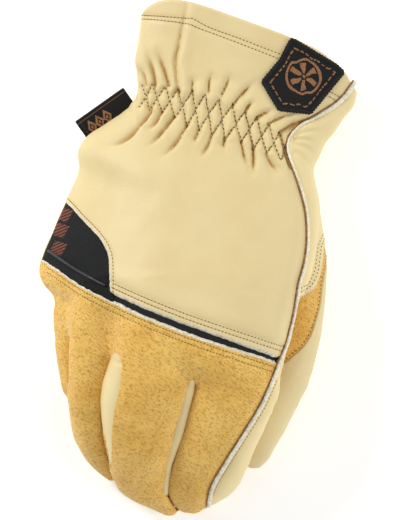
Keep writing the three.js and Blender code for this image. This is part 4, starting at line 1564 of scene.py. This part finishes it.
class Workshop:
    """Makes objects from solids and hands them to the frame."""

    sharp_angle = math.radians(55)

    def __init__(self) -> None:
        """Starts with the shared shader groups and no materials."""
        self.groups = Groups()
        self.materials: dict[str, bpy.types.Material] = {}

    def material(self, finish: Finish) -> bpy.types.Material:
        """The finish's material, made once."""
        if finish.name not in self.materials:
            self.materials[finish.name] = finish.build(self.groups)
        return self.materials[finish.name]

    def mesh(self, name: str, solid: Solid) -> bpy.types.Mesh:
        """Turns a solid in millimetres into a mesh in the shared frame.

        Args:
            name: The mesh's name.
            solid: Its triangles, with a material number for each.

        Returns:
            The mesh, shaded smooth apart from its sharp edges.
        """
        mesh = bpy.data.meshes.new(name)
        points = (solid.points + CENTRING) * MILLIMETRE
        count = len(solid.faces)
        mesh.vertices.add(len(points))
        mesh.vertices.foreach_set("co", points.astype(np.float32).ravel())
        mesh.loops.add(3 * count)
        mesh.loops.foreach_set("vertex_index", solid.faces.astype(np.int32).ravel())
        mesh.polygons.add(count)
        mesh.polygons.foreach_set("loop_start", np.arange(0, 3 * count, 3, dtype=np.int32))
        mesh.polygons.foreach_set("material_index", solid.materials.astype(np.int32))
        mesh.update(calc_edges=True)
        for key, values in solid.values.items():
            kind, part = ("FLOAT", "value") if values.ndim == 1 else ("FLOAT_VECTOR", "vector")
            attribute = mesh.attributes.new(key, kind, "POINT")
            attribute.data.foreach_set(part, values.astype(np.float32).ravel())
        mesh.polygons.foreach_set("use_smooth", np.ones(count, bool))
        mesh.set_sharp_from_angle(angle=self.sharp_angle)
        return mesh

    def place(self, piece: Piece, mesh: bpy.types.Mesh) -> None:
        """Puts a finished mesh in the scene as a piece.

        Args:
            piece: What the piece is called and made of.
            mesh: Its mesh, in the shared frame.
        """
        if len(mesh.materials):
            mesh.materials.clear()
        for finish in piece.finishes:
            mesh.materials.append(self.material(finish))
        made = bpy.data.objects.new(piece.name, mesh)
        bpy.context.scene.collection.objects.link(made)
        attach(made, "root")
        if piece.nodes:
            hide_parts(*piece.nodes)
        LOG.info("%s: %d triangles", piece.name, len(mesh.polygons))

    def add(self, piece: Piece, solid: Solid) -> None:
        """Puts a solid in the scene as a piece."""
        self.place(piece, self.mesh(piece.name, solid))


# Stitches


def stitch_tree() -> bpy.types.NodeTree:
    """Geometry nodes that lay stitches along lines."""
    tree = bpy.data.node_groups.new("Stitch row", "GeometryNodeTree")
    tree.interface.new_socket("Geometry", in_out="INPUT", socket_type="NodeSocketGeometry")
    for label, value in (("Pitch", 0.0015), ("Stitch length", 0.0011), ("Thread radius", 0.0002)):
        socket = tree.interface.new_socket(label, in_out="INPUT", socket_type="NodeSocketFloat")
        socket.default_value = value
    tree.interface.new_socket("Thread", in_out="INPUT", socket_type="NodeSocketMaterial")
    tree.interface.new_socket("Geometry", in_out="OUTPUT", socket_type="NodeSocketGeometry")
    nodes = Nodes(tree)
    start = nodes.add("NodeGroupInput")
    end = nodes.add("NodeGroupOutput")
    curve = nodes.add("GeometryNodeMeshToCurve", {"Mesh": start.outputs["Geometry"]})
    points = nodes.add(
        "GeometryNodeCurveToPoints",
        {"Curve": curve.outputs["Curve"], "Length": start.outputs["Pitch"]},
        mode="LENGTH",
    )
    bead = nodes.add("GeometryNodeMeshUVSphere", {"Segments": 6, "Rings": 4, "Radius": 1.0})
    half = nodes.sum("MULTIPLY", start.outputs["Stitch length"], 0.5)
    size = nodes.add(
        "ShaderNodeCombineXYZ",
        {"X": start.outputs["Thread radius"], "Y": start.outputs["Thread radius"], "Z": half},
    )
    placed = nodes.add(
        "GeometryNodeInstanceOnPoints",
        {
            "Points": points.outputs["Points"],
            "Instance": bead.outputs["Mesh"],
            "Rotation": points.outputs["Rotation"],
            "Scale": size.outputs["Vector"],
        },
    )
    real = nodes.add("GeometryNodeRealizeInstances", {"Geometry": placed.outputs["Instances"]})
    smooth = nodes.add("GeometryNodeSetShadeSmooth", {"Geometry": real.outputs["Geometry"]})
    dressed = nodes.add(
        "GeometryNodeSetMaterial",
        {"Geometry": smooth.outputs["Geometry"], "Material": start.outputs["Thread"]},
    )
    nodes.feed(end, {"Geometry": dressed.outputs["Geometry"]})
    return tree


@dataclass(frozen=True)
class StitchRows:
    """Rows of one thread along lines on the glove, in millimetres."""

    piece: Piece
    lines: list[Points]
    pitch: float
    length: float
    radius: float

    def build(self, workshop: Workshop, tree: bpy.types.NodeTree) -> None:
        """Lays the stitches and puts them in the scene.

        Args:
            workshop: Makes the piece.
            tree: The stitch row nodes.
        """
        lines = [line for line in self.lines if len(line) > 2]
        points = (np.vstack(lines) + CENTRING) * MILLIMETRE
        edges, first = [], 0
        for line in lines:
            number = np.arange(first, first + len(line) - 1)
            edges.append(np.stack([number, number + 1], 1))
            first += len(line)
        mesh = bpy.data.meshes.new(self.piece.name + "_lines")
        mesh.from_pydata(points.tolist(), np.concatenate(edges).tolist(), [])
        source = bpy.data.objects.new(self.piece.name + "_lines", mesh)
        bpy.context.scene.collection.objects.link(source)
        modifier = source.modifiers.new("Stitch row", "NODES")
        modifier.node_group = tree
        values = {
            "Pitch": self.pitch * MILLIMETRE,
            "Stitch length": self.length * MILLIMETRE,
            "Thread radius": self.radius * MILLIMETRE,
            "Thread": workshop.material(self.piece.finishes[0]),
        }
        for item in tree.interface.items_tree:
            if item.in_out == "INPUT" and item.name in values:
                modifier[item.identifier] = values[item.name]
        bpy.context.view_layer.update()
        graph = bpy.context.evaluated_depsgraph_get()
        made = bpy.data.meshes.new_from_object(source.evaluated_get(graph))
        bpy.data.objects.remove(source)
        workshop.place(self.piece, made)


# The glove's pieces


@dataclass
class Shape:
    """The folded form, and the ground that trims are laid on."""

    surface: Surface
    ground: Ground

    @classmethod
    def make(cls, step: float) -> "Shape":
        """Works out the form, folds it and prepares its ground."""
        surface = SmoothForm(step).surface()
        relief = Relief().heights(surface)
        surface.point = surface.base + surface.normal * relief[:, None]
        LOG.info("form: %d triangles", len(surface.faces))
        return cls(surface, Ground(surface))


def slot_half(x: Points) -> Points:
    """Half the height of the black strip that shows in the slot."""
    return 1.5 - 0.8 * eased(x / 38)


def slot_line(offset: float, first: float, last: float) -> Points:
    """Plan line beside the slot."""
    x = np.arange(first, last, LINE_STEP)
    return np.stack([x, SLOT.read("station", x) + offset / SLOT_SLOPE - SKEW * x], axis=1)


def seam_line(offset: float, first: float, last: float) -> Points:
    """Plan line beside the outseam, from the cuff to the index finger."""
    station = np.arange(first, last, -LINE_STEP)
    x = SEAM.read("x", station) + offset
    return np.stack([x, station - SKEW * x], axis=1)


def past_outseam(line: Points, gap: float) -> Points:
    """The part of a plan line that lies past the outseam by at least a gap."""
    return line[line[:, 0] > SEAM.read("x", line[:, 1] + SKEW * line[:, 0]) + gap]


def leaf_sides(outline: Points, y: Points) -> list[Points]:
    """Left and right edge of a narrow outline at each height of the plan."""
    loop = np.vstack([outline, outline[:1]])
    low, high = np.full(len(y), np.inf), np.full(len(y), -np.inf)
    for (ax, ay), (bx, by) in zip(loop, loop[1:]):
        t = (y - ay) / (by - ay + 1e-9)
        met = (t >= 0) & (t <= 1)
        x = ax + (bx - ax) * t
        low = np.where(met, np.minimum(low, x), low)
        high = np.where(met, np.maximum(high, x), high)
    return [averaged(low, 2), averaged(high, 2)]


def moved(path: Path, offset: float) -> Points:
    """A plan curve moved to its left by an offset."""
    line = smooth_path(path, LINE_STEP)
    ahead = unit(np.gradient(line, axis=0))
    return line + np.stack([-ahead[:, 1], ahead[:, 0]], axis=1) * offset


@dataclass(frozen=True)
class FingerStrip:
    """A pale strip between two fingers, as a bulging narrow leaf.

    Attributes:
        piece: What the strip is called and made of.
        leaf: Plan outline of what shows of it.
        sunk: How far it lies below the lips beside it.
        spare: What its half width has over half the gap at its upper end.
        across: How far it is moved to the right.
        swing: How much farther its lower end is moved to the right.
        beyond: How far it runs on past the outline's lower end.
        closing: Share of its width that its lower end loses.
    """

    piece: Piece
    leaf: Path
    sunk: float
    spare: float
    across: float
    swing: float
    beyond: float
    closing: float

    under_suede = 1.6
    step = 0.6
    lip_step = 0.5
    least_spare = 0.2
    sides = 16

    def build(self, shape: Shape, workshop: Workshop) -> None:
        """Lays the strip between the lips of the leather on both sides of it."""
        outline = np.array(self.leaf)
        low, high = outline[:, 1].min(), outline[:, 1].max()
        y = np.arange(high + self.under_suede, low - self.beyond, -self.step)
        lips = []
        edges = leaf_sides(outline, np.clip(y, low + 0.2, high - 0.5))
        for edge, step in zip(edges, (-self.lip_step, self.lip_step)):
            lip, _ = shape.ground.lay(np.stack([edge + step, y], axis=1), 0.0)
            height = averaged(np.interp(-y, -lip[:, 1], lip[:, 2]), 3)
            lips.append(np.stack([edge + step, y, height], axis=1))
        left, right = lips
        span = right - left
        up = unit(np.stack([-span[:, 2], 0 * y, span[:, 0]], axis=1))
        share = np.linspace(0, 1, len(y))
        below = share - 0.45
        taper = np.sqrt(eased(share / 0.04) * eased((1 - share) / 0.08)) * 0.6 + 0.4
        spare = self.least_spare + (self.spare - self.least_spare) * (1 - eased(below / 0.3))
        half = (np.linalg.norm(span, axis=1) / 2 + spare) * taper
        half *= 1 - self.closing * eased((share - 0.74) / 0.2)
        tall = 0.45 * half + 0.5
        sinks = self.sunk * (1 + 1.2 * eased(below / 0.4)) + 1.3 * (1 - eased(share / 0.05))
        line = (left + right) / 2 - up * (0.45 * tall + sinks)[:, None]
        line[:, 0] += self.across + self.swing * eased((share - 0.7) / 0.25)
        line[:, 2] -= 1.2 * np.clip(low - y, 0, None)
        section = oval(1.0, 1.0, self.sides)[None] * np.stack([half, tall], axis=1)[:, None, :]
        solid = swept(line, up, section)
        solid.values["fold"] = np.zeros(len(solid.points))
        workshop.add(self.piece, solid)


STRIPS = (
    FingerStrip(
        MIDDLE_RING_STRIP,
        LEAF_MIDDLE_RING,
        sunk=0.75,
        spare=0.55,
        across=-0.4,
        swing=-0.9,
        beyond=-0.4,
        closing=0.75,
    ),
    FingerStrip(
        INDEX_MIDDLE_STRIP,
        LEAF_INDEX_MIDDLE,
        sunk=0.35,
        spare=0.2,
        across=-0.2,
        swing=1.5,
        beyond=3.0,
        closing=-0.25,
    ),
)


# Cosine and sine of two directions in the plan, and the middles of the tape's figures
TAPE_RIBS = (0.894, -0.447)
TAPE_FIGURE_RUN = (0.93, 0.36)
TAPE_FIGURES = ((-65.5, 22.5), (-67.3, 15.0), (-68.2, 6.3))


def turned(x: Points, y: Points, run: tuple[float, float]) -> tuple[Points, Points]:
    """Plan positions along a direction and square to it."""
    return x * run[0] + y * run[1], -x * run[1] + y * run[0]


@dataclass
class LeatherPanels:
    """The hand's leather pieces with the ribbon and the tape under them."""

    thickness: float = 1.3
    hem_thickness: float = 2.9
    hem_width: float = 12.0
    roundness: float = 0.25  # bulge of an edge, as a share of the thickness
    hem_roundness: float = 0.45
    raw_reach: float = 1.25  # how far the underside stands out at a slanted raw edge
    mound_reach: float = 0.9  # the same at the palm leather's edge on the thumb
    ragged: float = 0.3  # how far a raw edge wanders
    ribbon_margin: float = 3.0  # how far the ribbon runs on under the leather
    ribbon_depth: float = 1.2
    tape_depth: float = 0.55
    cloth_thickness: float = 0.6

    def build(self, shape: Shape, workshop: Workshop) -> None:
        """Cuts every panel out of the form and gives it its thickness."""
        whole = shape.surface
        hand = whole.cut(Layout(whole).past_cuff())
        off_thumb = Layout(hand).off_thumb()
        self.thumb(hand.cut(off_thumb), workshop)
        hand = hand.cut(-off_thumb)
        leaf = self.off_leaf(Layout(hand))
        for strip in STRIPS:
            strip.build(shape, workshop)
        hand = hand.cut(-leaf)
        off_back = Layout(hand).off_back()
        self.ribbon(hand, workshop)
        self.panel(PALM, hand.cut(-off_back), workshop)
        self.back(hand.cut(off_back), workshop)

    def back(self, back: Surface, workshop: Workshop) -> None:
        """Cuts the back along the slot and round the tape."""
        layout = Layout(back)
        slot, tape = layout.over_slot(0), layout.right_of_tape()
        half = slot_half(layout.x)
        ragged = self.ragged * lattice_noise(back.base, 1.7, 21)
        upper = half + ragged + self.raw_reach - slot
        self.panel(BACK, back.cut(np.maximum(upper, 1.1 + 0.5 * ragged - tape)), workshop)
        self.panel(KNUCKLES, back.cut(slot + half - ragged + self.raw_reach), workshop)
        cloth = back.cut(np.maximum(tape - 2.2, -layout.over_slot(-3.2)))
        self.tape(cloth.refined().refined(), workshop)

    def ribbon(self, hand: Surface, workshop: Workshop) -> None:
        """The black strip that shows in the slot."""
        layout = Layout(hand)
        high = np.maximum(layout.past_seam() - 1.2, layout.parting() - 6.0 - layout.z)
        strip = np.abs(layout.over_slot(0)) - slot_half(layout.x) - self.ribbon_margin
        value = np.maximum(np.maximum(strip, high), -50 - layout.x)
        value = np.where(layout.up > 0.05, value, OUTSIDE)
        cloth = shelled(hand.cut(value), self.cloth_thickness, -self.ribbon_depth)
        workshop.add(RIBBON, cloth)

    def panel(self, piece: Piece, surface: Surface, workshop: Workshop) -> None:
        """Gives one leather panel its thickness, its raw edges and its hem."""
        layout = Layout(surface)
        hem = eased((self.hem_width + layout.past_cuff()) / 4)
        thick = self.thickness + (self.hem_thickness - self.thickness) * hem
        at_cuff = layout.past_cuff() > -0.4
        if piece is PALM:
            at_saddle = np.abs(mound_side(layout.x, layout.y)) < 0.8
            raw = np.where(at_saddle & (layout.z > 11), self.mound_reach, 0.0)
        else:
            inner = (layout.off_back() < -0.8) & (np.abs(self.off_leaf(layout)) > 1.5)
            raw = np.where(inner & ~at_cuff, self.raw_reach, 0.0)
        if piece is BACK:
            raw *= eased((layout.x + 78) / 6)
        roundness = np.where(at_cuff, self.hem_roundness, self.roundness)
        workshop.add(piece, shelled(surface, thick, 0.0, raw, roundness))

    def tape(self, surface: Surface, workshop: Workshop) -> None:
        """The ribbed tape with its three woven figures."""
        x, y = surface.base[:, 0], surface.base[:, 1]
        across, along = turned(x + 60, y - 5, TAPE_RIBS)
        ribbed = Layout(surface).over_slot(0) > PIPING_ROW
        across = np.where(ribbed, across, 0.0)
        figure = np.zeros(len(x))
        for cx, cy in TAPE_FIGURES:
            dx, dy = turned(x - cx, y - cy, TAPE_FIGURE_RUN)
            lozenge = 1 - np.abs(dx) / 5.6 - np.abs(dy) / 4.4
            bars = np.cos(dy * 4.6) > -0.45
            figure = np.maximum(figure, np.clip(lozenge * 6, 0, 1) * bars)
        solid = shelled(surface, self.cloth_thickness, -self.tape_depth)
        solid.weave(figure, across, along)
        workshop.add(TAPE, solid)

    def off_leaf(self, layout: Layout) -> Points:
        """Distance outside the strips between the fingers."""
        high = (layout.z > layout.parting() - 3.0) & (layout.up > -0.3)
        leaves = [inside_outline(layout.x, layout.y, strip.leaf) for strip in STRIPS]
        return np.where(high, np.minimum(*leaves), OUTSIDE)

    def thumb(self, thumb: Surface, workshop: Workshop) -> None:
        """The suede saddle and the pale stall of the thumb."""
        past = Layout(thumb).past_saddle()
        for piece, part, level in (
            (SADDLE, thumb.cut(past), -0.9),
            (STALL, thumb.cut(-past), -0.2),
        ):
            workshop.add(piece, shelled(part, self.thickness, level, roundness=self.roundness))


@dataclass
class Trims:
    """The piping over the slot and the welt in the outseam."""

    seed: int = 11
    piping_radius: float = 0.62
    sides: int = 10

    def build(self, shape: Shape, workshop: Workshop) -> None:
        """Lays every trim along its line."""
        self.welt(shape, workshop)
        line, normal = shape.ground.lay(slot_line(PIPING_ROW, -72.5, -44), 0.3)
        section = oval(self.piping_radius, self.piping_radius, self.sides)
        workshop.add(CORD, swept(line, normal, section))

    def welt(self, shape: Shape, workshop: Workshop) -> None:
        """The pale welt and the brown edge on its left, which narrows lower down into a painted
        shadow line.
        """
        rng = np.random.default_rng(self.seed)
        line, normal = shape.ground.lay(seam_line(0.15, 114.5, -119.5), 0.2)
        line = averaged(line, 3)
        low = eased((20 - line[:, 1]) / 70)[:, None, None]
        top = eased((line[:, 1] - 66) / 12)[:, None, None]
        rows = (
            (WELT, 0.8, 0.1, 0.62 + 0.38 * low + 0.5 * top, 0.8),
            # Brown strip: the leather's brown edge, narrowing lower down into painted shadow beside
            # the welt.
            (BROWN_LINE, -0.62, 0.0, 0.32 - 0.09 * low, 0.5),
        )
        for piece, side, high, wide, tall in rows:
            size = np.concatenate([wide, 0 * wide + tall], axis=2)
            section = oval(1.0, 1.0, self.sides)[None] * size
            draws = rng.standard_normal((len(line), self.sides, 1))
            rough = 1 + 0.09 * draws.clip(-1.5, 1.5)
            shift = np.concatenate([side * (0.4 + 0.6 * wide / 0.75), 0 * wide + high], axis=2)
            workshop.add(piece, swept(line, normal, section * rough + shift))


@dataclass
class CuffPatch:
    """The hexagonal woven patch, bound round its edge, in millimetres."""

    level: float = 1.0
    thickness: float = 0.8
    centre: tuple[float, float] = (50.0, 88.5)
    turn: float = math.radians(-31)
    ring_radius: float = 8.1
    petal_radius: float = 6.7
    border_inset: float = 2.9

    def figure(self, x: Points, y: Points) -> Points:
        """A ring, a six-part rosette and a dashed border."""
        run = (math.cos(self.turn), math.sin(self.turn))
        u, v = turned(x - self.centre[0], y - self.centre[1], run)
        radius, turn = np.hypot(u, v), np.arctan2(v, u)
        ring = np.abs(radius - self.ring_radius) < 0.55
        petals = np.cos(3 * turn) ** 2 > 0.18 + radius / 14.5
        petals &= (radius < self.petal_radius) & (radius > 1.6)
        heart = radius < 0.9
        edge = inside_outline(x, y, PATCH_OUTLINE)
        border = (np.abs(edge + self.border_inset) < 0.32) & (np.sin(turn * 30) > -0.5)
        gems = (np.abs(np.abs(u) - 10.4) / 1.3 + np.abs(v) / 2.4 < 1) & (edge < -4.2)
        for row in (9.4, 11.6):
            peaks = np.abs(v - row - 0.8 * np.abs((u * 0.7) % 2 - 1))
            gems |= (peaks < 0.45) & (np.abs(u) < 9) & (edge < -4.2)
        return (ring | petals | heart | border | gems).astype(float)

    def build(self, shape: Shape, workshop: Workshop) -> None:
        """Cuts the patch out of the form over the leather and binds it."""
        layout = Layout(shape.surface)
        inside = inside_outline(layout.x, layout.y, PATCH_OUTLINE)
        value = np.maximum(inside, layout.past_cuff() + 0.2)
        value = np.where(layout.up > -0.05, value, OUTSIDE)
        soft = softened(shape.surface.cut(value), 6)
        patch = soft.refined().refined()
        x, y = patch.base[:, 0], patch.base[:, 1]
        solid = shelled(patch, self.thickness, self.level, roundness=0.3)
        solid.weave(self.figure(x, y), x, y)
        workshop.add(PATCH, solid)
        self.bind(soft, workshop)

    def bind(self, patch: Surface, workshop: Workshop) -> None:
        """Lays the binding along the patch's edge."""
        loop = ordered_rim(patch)
        line = evenly(np.vstack([patch.point[loop], patch.point[loop[:1]]]), 0.5)[:-1]
        nearest = [int(np.argmin(((patch.point - place) ** 2).sum(1))) for place in line]
        normal = patch.normal[nearest]
        wave = 1 + 0.22 * np.sin(np.arange(len(line)) * 2.1)
        section = oval(1.05, 0.6, 8)[None] * wave[:, None, None]
        bound = swept(line + normal * (self.level - 0.1), normal, section, closed=True)
        workshop.add(BINDING, bound)


def softened(surface: Surface, rounds: int) -> Surface:
    """The surface with its folds softened, its edge held."""
    edges = edges_of(surface.faces)
    held = np.unique(boundary_of(surface.faces))
    points = surface.point.copy()
    for _ in range(rounds):
        made = neighbour_mean(points, edges)
        made[held] = points[held]
        points = made
    return Surface(surface.base, surface.normal, points, surface.faces)


def ordered_rim(surface: Surface) -> Points:
    """Point numbers of the longest edge loop, in order."""
    after = {int(a): int(b) for a, b in boundary_of(surface.faces)}
    best: list[int] = []
    left = set(after)
    while left:
        start = next(iter(left))
        loop = [start]
        left.discard(start)
        at = after[start]
        while at != start and at in left:
            loop.append(at)
            left.discard(at)
            at = after[at]
        if len(loop) > len(best):
            best = loop
    return np.array(best)


@dataclass
class SideTab:
    """The folded ribbon tab in the little finger's seam, in millimetres."""

    height: float = 15.2
    thickness: float = 1.0
    length: float = 27.7
    width: float = 13.0
    across: int = 72
    along: int = 42

    def build(self, workshop: Workshop) -> None:
        """Makes the tab as a thin bent slab with its figure."""
        a, b, c, d = (np.array(p, float) for p in TAB_OUTLINE)
        s = np.linspace(0, 1, self.across)[:, None, None]
        t = np.linspace(0, 1, self.along)[None, :, None]
        plan = (a * (1 - t) + d * t) * (1 - s) + (b * (1 - t) + c * t) * s
        bend = 0.9 * np.sin(s[..., 0] * 2.4) * (0.4 + t[..., 0]) + 0.5 * np.cos(t[..., 0] * 3)
        points = np.dstack([plan, self.height + bend]).reshape(-1, 3)
        i, j = np.meshgrid(np.arange(self.across - 1), np.arange(self.along - 1), indexing="ij")
        n = (i * self.along + j).ravel()
        across, beyond = n + self.along, n + self.along + 1
        halves = [np.stack([n, beyond, across], 1), np.stack([n, n + 1, beyond], 1)]
        faces = np.concatenate(halves)
        normal = normals_of(points, faces)
        if normal[:, 2].mean() < 0:
            faces, normal = faces[:, ::-1], -normal
        surface = Surface(points, normal, points, faces)
        solid = shelled(surface, self.thickness, roundness=0.5)
        u = np.repeat(np.linspace(0, self.length, self.across), self.along)
        v = np.tile(np.linspace(0, self.width, self.along), self.across)
        solid.weave(self.figure(u, v), u, v)
        workshop.add(TAB, solid)

    def figure(self, u: Points, v: Points) -> Points:
        """Three lozenges in a row and fainter lines along the edges."""
        line = (np.abs(u - 1.5) < 0.22) | (np.abs(v - 1.4) < 0.2) | (np.abs(v - 11.6) < 0.2)
        figure = np.zeros(len(u))
        for centre in (5.0, 9.4, 13.8):
            lozenge = np.abs(u - centre) / 2.3 + np.abs(v - 6.5) / 3.9
            figure = np.maximum(figure, (lozenge < 1) & (lozenge > 0.55) | (lozenge < 0.28))
        return np.maximum(figure, 0.5 * line)


def later(lines: list[Points], start: float) -> list[Points]:
    """The same lines without their first part."""
    made = []
    for line in lines:
        if len(line) > 2:
            gone = lengths_along(line)
            made.append(read_along(line, np.append(start, gone[gone > start])))
    return made


@dataclass
class Stitching:
    """Every row of thread on the glove, with the rows' distances from the edge they follow."""

    lift: float = 0.12
    back_rows: tuple[float, float] = (4.4, 6.5)
    suede_rows: tuple[float, float] = (3.7, 6.1)
    mound_rows: tuple[float, float] = (1.6, 3.2)

    def build(self, shape: Shape, workshop: Workshop) -> None:
        """Lays the rows, one piece for each thread."""
        tree = stitch_tree()

        def laid(plans: list[Points]) -> list[Points]:
            """The plan lines, each laid on the glove."""
            return [shape.ground.lay(plan, self.lift)[0] for plan in plans]

        hem = laid([smooth_path(path) for path in HEM_ROWS])
        back = laid(
            [slot_line(row, -41.2 + 1.2 * n, 40.5) for n, row in enumerate(self.back_rows)]
        )
        tape = laid([moved(TAPE_EDGE, 2.4)])
        tape = [line[(line[:, 0] > -73) & (line[:, 1] > -14.5)] for line in tape]
        suede = laid([slot_line(-row, -73, 37) for row in self.suede_rows])
        shirring = laid([evenly(np.array(row), 0.5) for row in shirring_lines()])
        seam = laid([seam_line(2.7, -44, -110)])
        thumb = laid([past_outseam(moved(MOUND_EDGE, row), 2.0) for row in self.mound_rows])
        saddle = laid([past_outseam(moved(SADDLE_EDGE, -1.5), 1.5)])
        saddle = [line - [0, 0, 0.8] for line in saddle if len(line)]
        pale = hem + back + tape
        slots = MaterialSlot
        rows = (
            ("back_stitches", pale, GOLD_THREAD, slots.BACK_LEATHER, 1.8, 1.3, 0.17),
            # The dark beads between the back's tan stitches paint the shade in the stitch holes.
            ("back_stitch_hole_shade", later(pale, 0.9), HOLE_SHADE, slots.BACK_LEATHER, 1.8, 0.85, 0.25),
            ("suede_stitches", suede, DARK_THREAD, slots.SPLIT_LEATHER, 1.6, 0.85, 0.21),
            ("shirring_stitches", shirring, DARK_THREAD, slots.BACK_LEATHER, 2.2, 1.25, 0.22),
            ("seam_stitches", seam, GOLD_THREAD, slots.PALM_LEATHER, 1.8, 1.2, 0.2),
            ("thumb_stitches", thumb, DARK_THREAD, slots.PALM_LEATHER, 1.9, 0.9, 0.2),
            ("saddle_stitches", saddle, DARK_THREAD, slots.SPLIT_LEATHER, 1.9, 0.9, 0.2),
        )
        for name, lines, thread, slot, pitch, length, radius in rows:
            piece = Piece(name, slot, (thread,))
            StitchRows(piece, lines, pitch, length, radius).build(workshop, tree)


# Camera and light


@dataclass(frozen=True)
class Lamp:
    """A round soft light that is turned to the glove, in metres and watts."""

    name: str
    place: tuple[float, float, float]
    size: float
    power: float


LAMPS = (
    Lamp("key", (-0.95, 0.8, 0.8), 0.45, 12.5),
    Lamp("fill", (1.2, -0.3, 0.7), 0.9, 8.0),
    Lamp("rear", (0.3, 1.2, 0.8), 1.0, 2.0),
)


@dataclass
class Studio:
    """Camera over the glove, pale floor and soft lights.

    The camera's numbers are millimetres, the floor's and the lights' are metres.
    """

    focal_length: float = 300.0
    sensor: float = 36.0
    long_side: float = 249.6
    centre: tuple[float, float, float] = (0.08, -0.22, 28.0)
    clip_end: float = 100.0
    floor_reach: float = 4.0
    aim: tuple[float, float, float] = (0, 0, 0.02)
    surround: float = 0.45

    def camera(self) -> None:
        """The camera, straight above."""
        data = bpy.data.cameras.new("camera")
        data.lens = self.focal_length
        data.sensor_width = self.sensor
        data.sensor_fit = "AUTO"
        distance = self.focal_length * self.long_side / self.sensor
        camera = bpy.data.objects.new("camera", data)
        camera.location = (Vector(self.centre) + Vector((0, 0, distance))) * MILLIMETRE
        data.clip_end = self.clip_end
        bpy.context.scene.collection.objects.link(camera)
        bpy.context.scene.camera = camera

    def floor(self, workshop: Workshop) -> None:
        """The floor that the glove lies on."""
        mesh = bpy.data.meshes.new("floor")
        reach = self.floor_reach
        corners = [(-reach, -reach, 0), (reach, -reach, 0), (reach, reach, 0), (-reach, reach, 0)]
        mesh.from_pydata(corners, [], [(0, 1, 2, 3)])
        mesh.materials.append(workshop.material(FLOOR))
        floor = bpy.data.objects.new("floor", mesh)
        bpy.context.scene.collection.objects.link(floor)

    def lights(self) -> None:
        """A broad soft light from the upper left, a fill and a pale surround."""
        for lamp in LAMPS:
            data = bpy.data.lights.new(lamp.name, "AREA")
            data.shape = "DISK"
            data.size = lamp.size
            data.energy = lamp.power
            light = bpy.data.objects.new(lamp.name, data)
            light.location = lamp.place
            ahead = Vector(self.aim) - Vector(lamp.place)
            light.rotation_euler = ahead.to_track_quat("-Z", "Y").to_euler()
            bpy.context.scene.collection.objects.link(light)
        world = bpy.data.worlds.new("surround")
        world.use_nodes = True
        background = world.node_tree.nodes["Background"]
        background.inputs["Color"].default_value = WHITE
        background.inputs["Strength"].default_value = self.surround
        bpy.context.scene.world = world
        bpy.context.scene.view_settings.view_transform = "Standard"


def main() -> None:
    """Builds the glove and the studio in order."""
    logging.basicConfig(level=logging.INFO, format="%(message)s")
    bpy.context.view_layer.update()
    workshop = Workshop()
    shape = Shape.make(NET_STEP)
    LeatherPanels().build(shape, workshop)
    Trims().build(shape, workshop)
    CuffPatch().build(shape, workshop)
    SideTab().build(workshop)
    Stitching().build(shape, workshop)
    studio = Studio()
    studio.camera()
    studio.floor(workshop)
    studio.lights()
    LOG.info("glove dressed")


if __name__ == "__main__":
    main()
